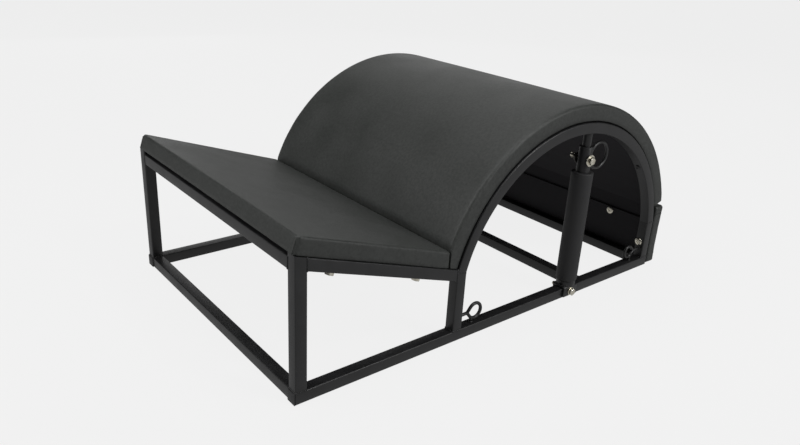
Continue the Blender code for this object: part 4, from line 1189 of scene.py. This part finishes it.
def slice_evenly(bm, axis, low, high):
    """Cut a shape across an axis into even slices."""
    count = max(2, round((high - low) / PAD_CELL))
    for step in range(count + 1):
        at = low + (high - low) * step / count
        bmesh.ops.bisect_plane(
            bm, geom=bm.verts[:] + bm.edges[:] + bm.faces[:], dist=TOUCHING,
            plane_co=axis * at, plane_no=axis)


def pad_block(size, form):
    """A pad before it is filled: round corners and edges, sides drawn in, its top a little slack.

    It spans 0 to its length in X, is centred in Y, and rests on Z = 0.
    """
    length, width, height = size
    corner, edge, hem, crown, draw = form
    low_top = height - crown
    bm = rectangle(0, length, width / 2)
    round_corners(bm, bm.verts[:], corner, 4)
    grow(bm, bm.faces[:], (0, 0, low_top))
    soften(bm, edges_at(bm, UP, 0), hem, 1)
    soften(bm, edges_at(bm, UP, low_top), edge, 4)
    slice_evenly(bm, ALONG, corner, length - corner)
    slice_evenly(bm, ACROSS, corner - width / 2, width / 2 - corner)
    slice_evenly(bm, UP, hem, low_top - edge)
    for vert in bm.verts:
        share_x = 2 * vert.co.x / length - 1
        share_y = 2 * vert.co.y / width
        on_top = vert.co.z > low_top - TOUCHING
        waver = unevenness(vert.co)
        vert.co.x -= share_x * (draw * (1 - share_y ** 2) + waver)
        vert.co.y -= share_y * (draw * (1 - share_x ** 2) + waver)
        if on_top:
            vert.co.z += (crown - SLACK) * window(share_x, share_y)
    return bm


def upholster(name, bm, is_held, node):
    """A filled vinyl pad that stands for a packed pad."""
    pad = add_piece(name, bm, "pad_vinyl", node)
    swell(pad, is_held, SLACK)
    return pad


def block_pad(name, node, place, size, form):
    """A block pad at its place, filled between its held rims."""
    bm = put(pad_block(size, form), place)
    back = place.inverted()
    reach = form.edge * HELD_PAST_EDGE + form.draw

    def is_held(point):
        at = back @ point
        near = [
            min(at.x, size[0] - at.x) < reach,
            size[1] / 2 - abs(at.y) < reach,
            size[2] - form.crown - at.z < reach]
        return at.z < form.hem * 1.5 or sum(near) >= 2

    pad = upholster(name, bm, is_held, node)
    up = place.to_3x3() @ UP
    keep_within(pad, place.translation, -up)
    keep_within(pad, place @ Vector((0, 0, size[2])), up)
    return pad


def lap_rise(size, form):
    """How far the folded laps reach up a pad's side."""
    return UP * (size[2] - form.edge - form.crown - form.hem)


def fold(bm, foot, rise, outward, along):
    """A folded lap of the cover: a thin wedge up a pad's face, proud at one side."""
    sunk = foot - outward * FOLD_SUNK
    corners = (sunk, sunk + along * FOLD_WIDTH, foot + outward * FOLD_RISE)
    face = bm.faces.new([bm.verts.new(corner) for corner in corners])
    grow(bm, [face], rise)


def seat_place():
    """The seat's own frame: X down the slope, Z square to it, from the rails' top plane."""
    return frame_on(seat_point(0), SEAT_DOWN, ACROSS, SEAT_NORMAL)


def make_seat_pad():
    place = seat_place()
    lift = SEAT_PAD_LIFT - SEAT_PAD_LOWERED
    lifted = place @ Matrix.Translation((-SEAT_PAD_FRONT_PROUD, 0, lift))
    size = (
        SEAT_LENGTH + SEAT_PAD_FRONT_PROUD, WIDTH - 2 * (SEAT_PAD_INSET - SEAT_PAD_SIDE_PROUD),
        SEAT_PAD + SEAT_PAD_PROUD - lift)
    pad = block_pad("seat_cushion", "seat_pad", lifted, size, SEAT_FORM)
    back = place.inverted()
    lean = math.tan(SEAT_SLOPE)
    for vert in pad.data.vertices:
        local = back @ vert.co
        local.x *= 1 - local.z * lean / SEAT_LENGTH
        vert.co = place @ local
    keep_within(pad, Vector((FRONT + SEAT_REAR, 0, 0)), ALONG)
    around = SEAT_FORM.draw + SEAT_COVER
    rear = SEAT_LENGTH - (SEAT_BOARD + FIT) * lean - around
    half = WIDTH / 2 - SEAT_PAD_INSET - around
    pocket = box_between((around, -half, -SEAT_PAD), (rear, half, SEAT_BOARD + 2 * FIT))
    cut_away(pad, put(pocket, place))
    smooth_up_to(pad, SHARP_OVER_ON_PADS)
    folds = bmesh.new()
    rise = lap_rise(size, SEAT_FORM)
    for _, sign in SIDES:
        reach = size[1] / 2 - SEAT_FORM.corner * 0.6
        start = Vector((SEAT_FORM.draw * 0.2, sign * reach, SEAT_FORM.hem))
        fold(folds, start, rise, -ALONG, ACROSS * -sign)
    add_piece("seat_folds", put(folds, lifted), "pad_vinyl")


def make_hems():
    """The seat cover's hems turned under its board between the rails, and their staples."""
    place = seat_place()
    side = BETWEEN_RAILS - HEM_OFF_RAILS
    inside = side - HEM_WIDTH
    front = TUBE + HEM_OFF_FRONT_BAR
    rear = SEAT_LENGTH - HEM_OFF_REAR
    below = FIT - HEM_THICKNESS
    bm = bmesh.new()
    strips = [(front, rear, -side, -inside), (front, rear, inside, side)]
    strips += [(x, x + HEM_WIDTH, -inside, inside) for x in (front, rear - HEM_WIDTH)]
    for near, far, left, right in strips:
        strip = box_between((near, left, below), (far, right, FIT))
        soften(strip, strip.edges[:], HEM_THICKNESS * 0.3, 2)
        join(bm, strip)
    add_piece("seat_hems", put(bm, place), "pad_vinyl")
    staples = bmesh.new()
    count = int((rear - front) / STAPLE_PITCH)
    for way in (-1, 1):
        for step in range(count):
            x = front + STAPLE_PITCH * (step + 0.5)
            lay_staple(staples, Vector((x, way * (side - HEM_WIDTH * 0.55), below)), ALONG)
    count = int(2 * inside / STAPLE_PITCH)
    for x in (front + HEM_WIDTH * 0.5, rear - HEM_WIDTH * 0.5):
        for step in range(count):
            y = STAPLE_PITCH * (step - (count - 1) / 2)
            lay_staple(staples, Vector((x, y, below)), ACROSS)
    add_piece("seat_staples", put(staples, place), "fastener_zinc")


def lay_staple(bm, at, along):
    """The crown of a staple, lying a little crooked."""
    turn = STAPLE_CROOKED * terrain.noise(at * 55)
    bar = block((STAPLE_CROWN, STAPLE_WIRE * 2, STAPLE_WIRE))
    soften(bar, bar.edges[:], STAPLE_WIRE * 0.2, 1)
    way = along * math.cos(turn) + UP.cross(along) * math.sin(turn)
    join(bm, put(bar, frame_at(at - UP * STAPLE_WIRE * 0.4, UP, way)))


def make_barrel_pad():
    inner = ARCH_RADIUS + BARREL_PAD_OVER_BOW
    outer = PAD_OUTER_RADIUS + BARREL_PAD_PROUD - BARREL_PAD_CROWN
    half = WIDTH / 2 - BARREL_PAD_INSET + BARREL_PAD_SIDE_PROUD
    span = BARREL_FRONT_ANGLE - BARREL_PAD_REAR_ANGLE
    bm = rectangle(inner, outer, half)
    shoulders = [vert for vert in bm.verts if vert.co.x > inner + 0.001]
    foot = [vert for vert in bm.verts if vert.co.x < inner + 0.001]
    round_corners(bm, shoulders, BARREL_PAD_EDGE, 6)
    round_corners(bm, foot, BARREL_PAD_TAPER, 1)
    cuts = round(2 * half / PAD_CELL)
    bmesh.ops.subdivide_edges(bm, edges=edges_at(bm, ALONG, outer), cuts=cuts)
    for sign in (-1, 1):
        bmesh.ops.subdivide_edges(bm, edges=edges_at(bm, ACROSS * sign, half), cuts=2)
    turn = Matrix.Rotation(-BARREL_PAD_REAR_ANGLE, 4, "Y")
    put(bm, Matrix.Translation(ARCH_CENTRE) @ turn)
    sweep(bm, ARCH_CENTRE, span, round(span * outer / PAD_CELL))
    square = bow_end(arch_direction(BARREL_PAD_REAR_ANGLE))
    soften(bm, edges_at(bm, square, ARCH_CENTRE.dot(square)), BARREL_PAD_END_EDGE, 2)
    for vert in bm.verts:
        away = vert.co - ARCH_CENTRE
        reach = math.hypot(away.x, away.z)
        share_x = 2 * (math.atan2(away.z, away.x) - BARREL_PAD_REAR_ANGLE) / span - 1
        share_y = away.y / (half - BARREL_PAD_EDGE)
        vert.co.y -= away.y / half * (BARREL_PAD_DRAW * (1 - share_x ** 2) + unevenness(vert.co))
        if reach > outer - 0.00005 and abs(share_y) < 1:
            full = BARREL_PAD_CROWN * (1 - share_y ** 2)
            lift = full - SLACK * 0.6 * window(share_x, share_y)
            vert.co += Vector((away.x, 0, away.z)) / reach * lift
        vert.co.x = max(vert.co.x, BARREL_FLAT)

    held = BARREL_PAD_EDGE * HELD_PAST_EDGE

    def is_held(point):
        away = point - ARCH_CENTRE
        reach = math.hypot(away.x, away.z)
        side = half - abs(point.y) < held
        at_shoulder = side and reach > outer - held
        at_end = away.dot(square) < 2 * BARREL_PAD_END_EDGE or point.x < BARREL_FLAT + 0.002
        return reach < inner + 2 * BARREL_PAD_TAPER or at_shoulder or at_end

    pad = upholster("barrel_cushion", bm, is_held, "barrel_pad")
    keep_within(pad, Vector((BARREL_FLAT, 0, 0)), -ALONG)
    keep_outside(pad, inner)
    cut_away(pad, arch_slab(
        inner - 0.01, PAD_INNER_RADIUS, WIDTH / 2 - BARREL_BOARD_INSET + FIT,
        BARREL_PAD_REAR_ANGLE - 0.1, BARREL_FRONT_ANGLE + 0.1, None))
    smooth_up_to(pad, SHARP_OVER_ON_PADS)


def make_rear_pad():
    """The pad across the back: its underside lies against the rear board."""
    place = frame_on(spot(REAR_PAD_FRONT, 0, REAR_PAD_TOP), -UP, ACROSS, ALONG)
    size = (
        REAR_PAD_TOP - REAR_PAD_BOTTOM + REAR_PAD_LOWERED, WIDTH - 2 * REAR_PAD_INSET,
        REAR_PAD + REAR_PAD_PROUD)
    pad = block_pad("rear_cushion", "rear_pad", place, size, REAR_FORM)
    keep_within(pad, Vector((0, 0, 0)), -UP)
    smooth_up_to(pad, SHARP_OVER_ON_PADS)
    folds = bmesh.new()
    rise = lap_rise(size, REAR_FORM)
    laps = [(at, 1) for at in REAR_FOLDS_FROM_TOP]
    laps += [(size[0] - at, -1) for at in REAR_FOLDS_FROM_BOTTOM]
    for _, sign in SIDES:
        face = sign * (size[1] / 2 - REAR_FORM.draw * 0.4)
        for at, way in laps:
            fold(folds, Vector((at, face, REAR_FORM.hem)), rise, ACROSS * sign, ALONG * way)
    add_piece("rear_folds", put(folds, place), "pad_vinyl")


# Room, light and camera


def make_studio():
    """A pale floor and a pale wall all round, far off.

    What they give back to the object comes evenly from the room light.
    """
    finish = pale_floor()
    floor = bmesh.new()
    bmesh.ops.create_grid(floor, x_segments=1, y_segments=1, size=FLOOR_REACH)
    wall = bmesh.new()
    bmesh.ops.create_uvsphere(wall, u_segments=48, v_segments=24, radius=WALL_REACH)
    bmesh.ops.reverse_faces(wall, faces=wall.faces[:])
    for name, bm in (("floor", floor), ("wall", wall)):
        obj = add_object(name, bm, finish)
        obj.visible_diffuse = False
        obj.visible_glossy = False
        obj.visible_shadow = False


def add_light(name, place, aim, size, watts):
    light = bpy.data.lights.new(name, "AREA")
    light.shape = "RECTANGLE"
    light.size, light.size_y = size
    light.energy = watts
    obj = bpy.data.objects.new(name, light)
    obj.location = place
    turn = (Vector(aim) - Vector(place)).to_track_quat("-Z", "Y")
    obj.rotation_euler = turn.to_euler()
    bpy.context.scene.collection.objects.link(obj)


def light_room():
    """Even light that comes more from the pale floor than from above, and soft windows."""
    world = bpy.data.worlds.new("soft_studio")
    world.use_nodes = True
    direction = add_node(world, "ShaderNodeTexCoord", "Generated", {})
    height = add_node(world, "ShaderNodeSeparateXYZ", "Z", {"Vector": direction})
    strength = spread(
        world, height, LIGHT_FROM_BELOW, LIGHT_FROM_ABOVE, -HORIZON_BLUR, HORIZON_BLUR)
    connect(world, world.node_tree.nodes["Background"], {
        "Color": (1, 1, 1, 1), "Strength": strength})
    bpy.context.scene.world = world
    for light in LIGHTS:
        add_light(*light)
    bpy.context.scene.view_settings.view_transform = "Standard"


def add_camera():
    camera = bpy.data.cameras.new("picture_camera")
    camera.lens = CAMERA_LENS
    camera.sensor_width = SENSOR_WIDTH
    camera.sensor_fit = "HORIZONTAL"
    camera.shift_x, camera.shift_y = CAMERA_SHIFT
    camera.clip_start = 0.05
    camera.clip_end = 100
    obj = bpy.data.objects.new("picture_camera", camera)
    obj.matrix_world = frame_on(CAMERA_PLACE, CAMERA_RIGHT, CAMERA_UP, CAMERA_BACK)
    bpy.context.scene.collection.objects.link(obj)
    bpy.context.scene.camera = obj


paint_solids()
make_base()
make_uprights()
make_bows()
make_plugs()
make_welds()
make_eyes()
make_handles()
for row in CROSS_BOLTS:
    make_cross_bolts(*row)
make_screws()
make_seat_bolts()
make_bow_bolts()
make_barrel_board()
make_seat_pad()
make_hems()
make_barrel_pad()
make_rear_pad()
make_studio()
light_room()
add_camera()
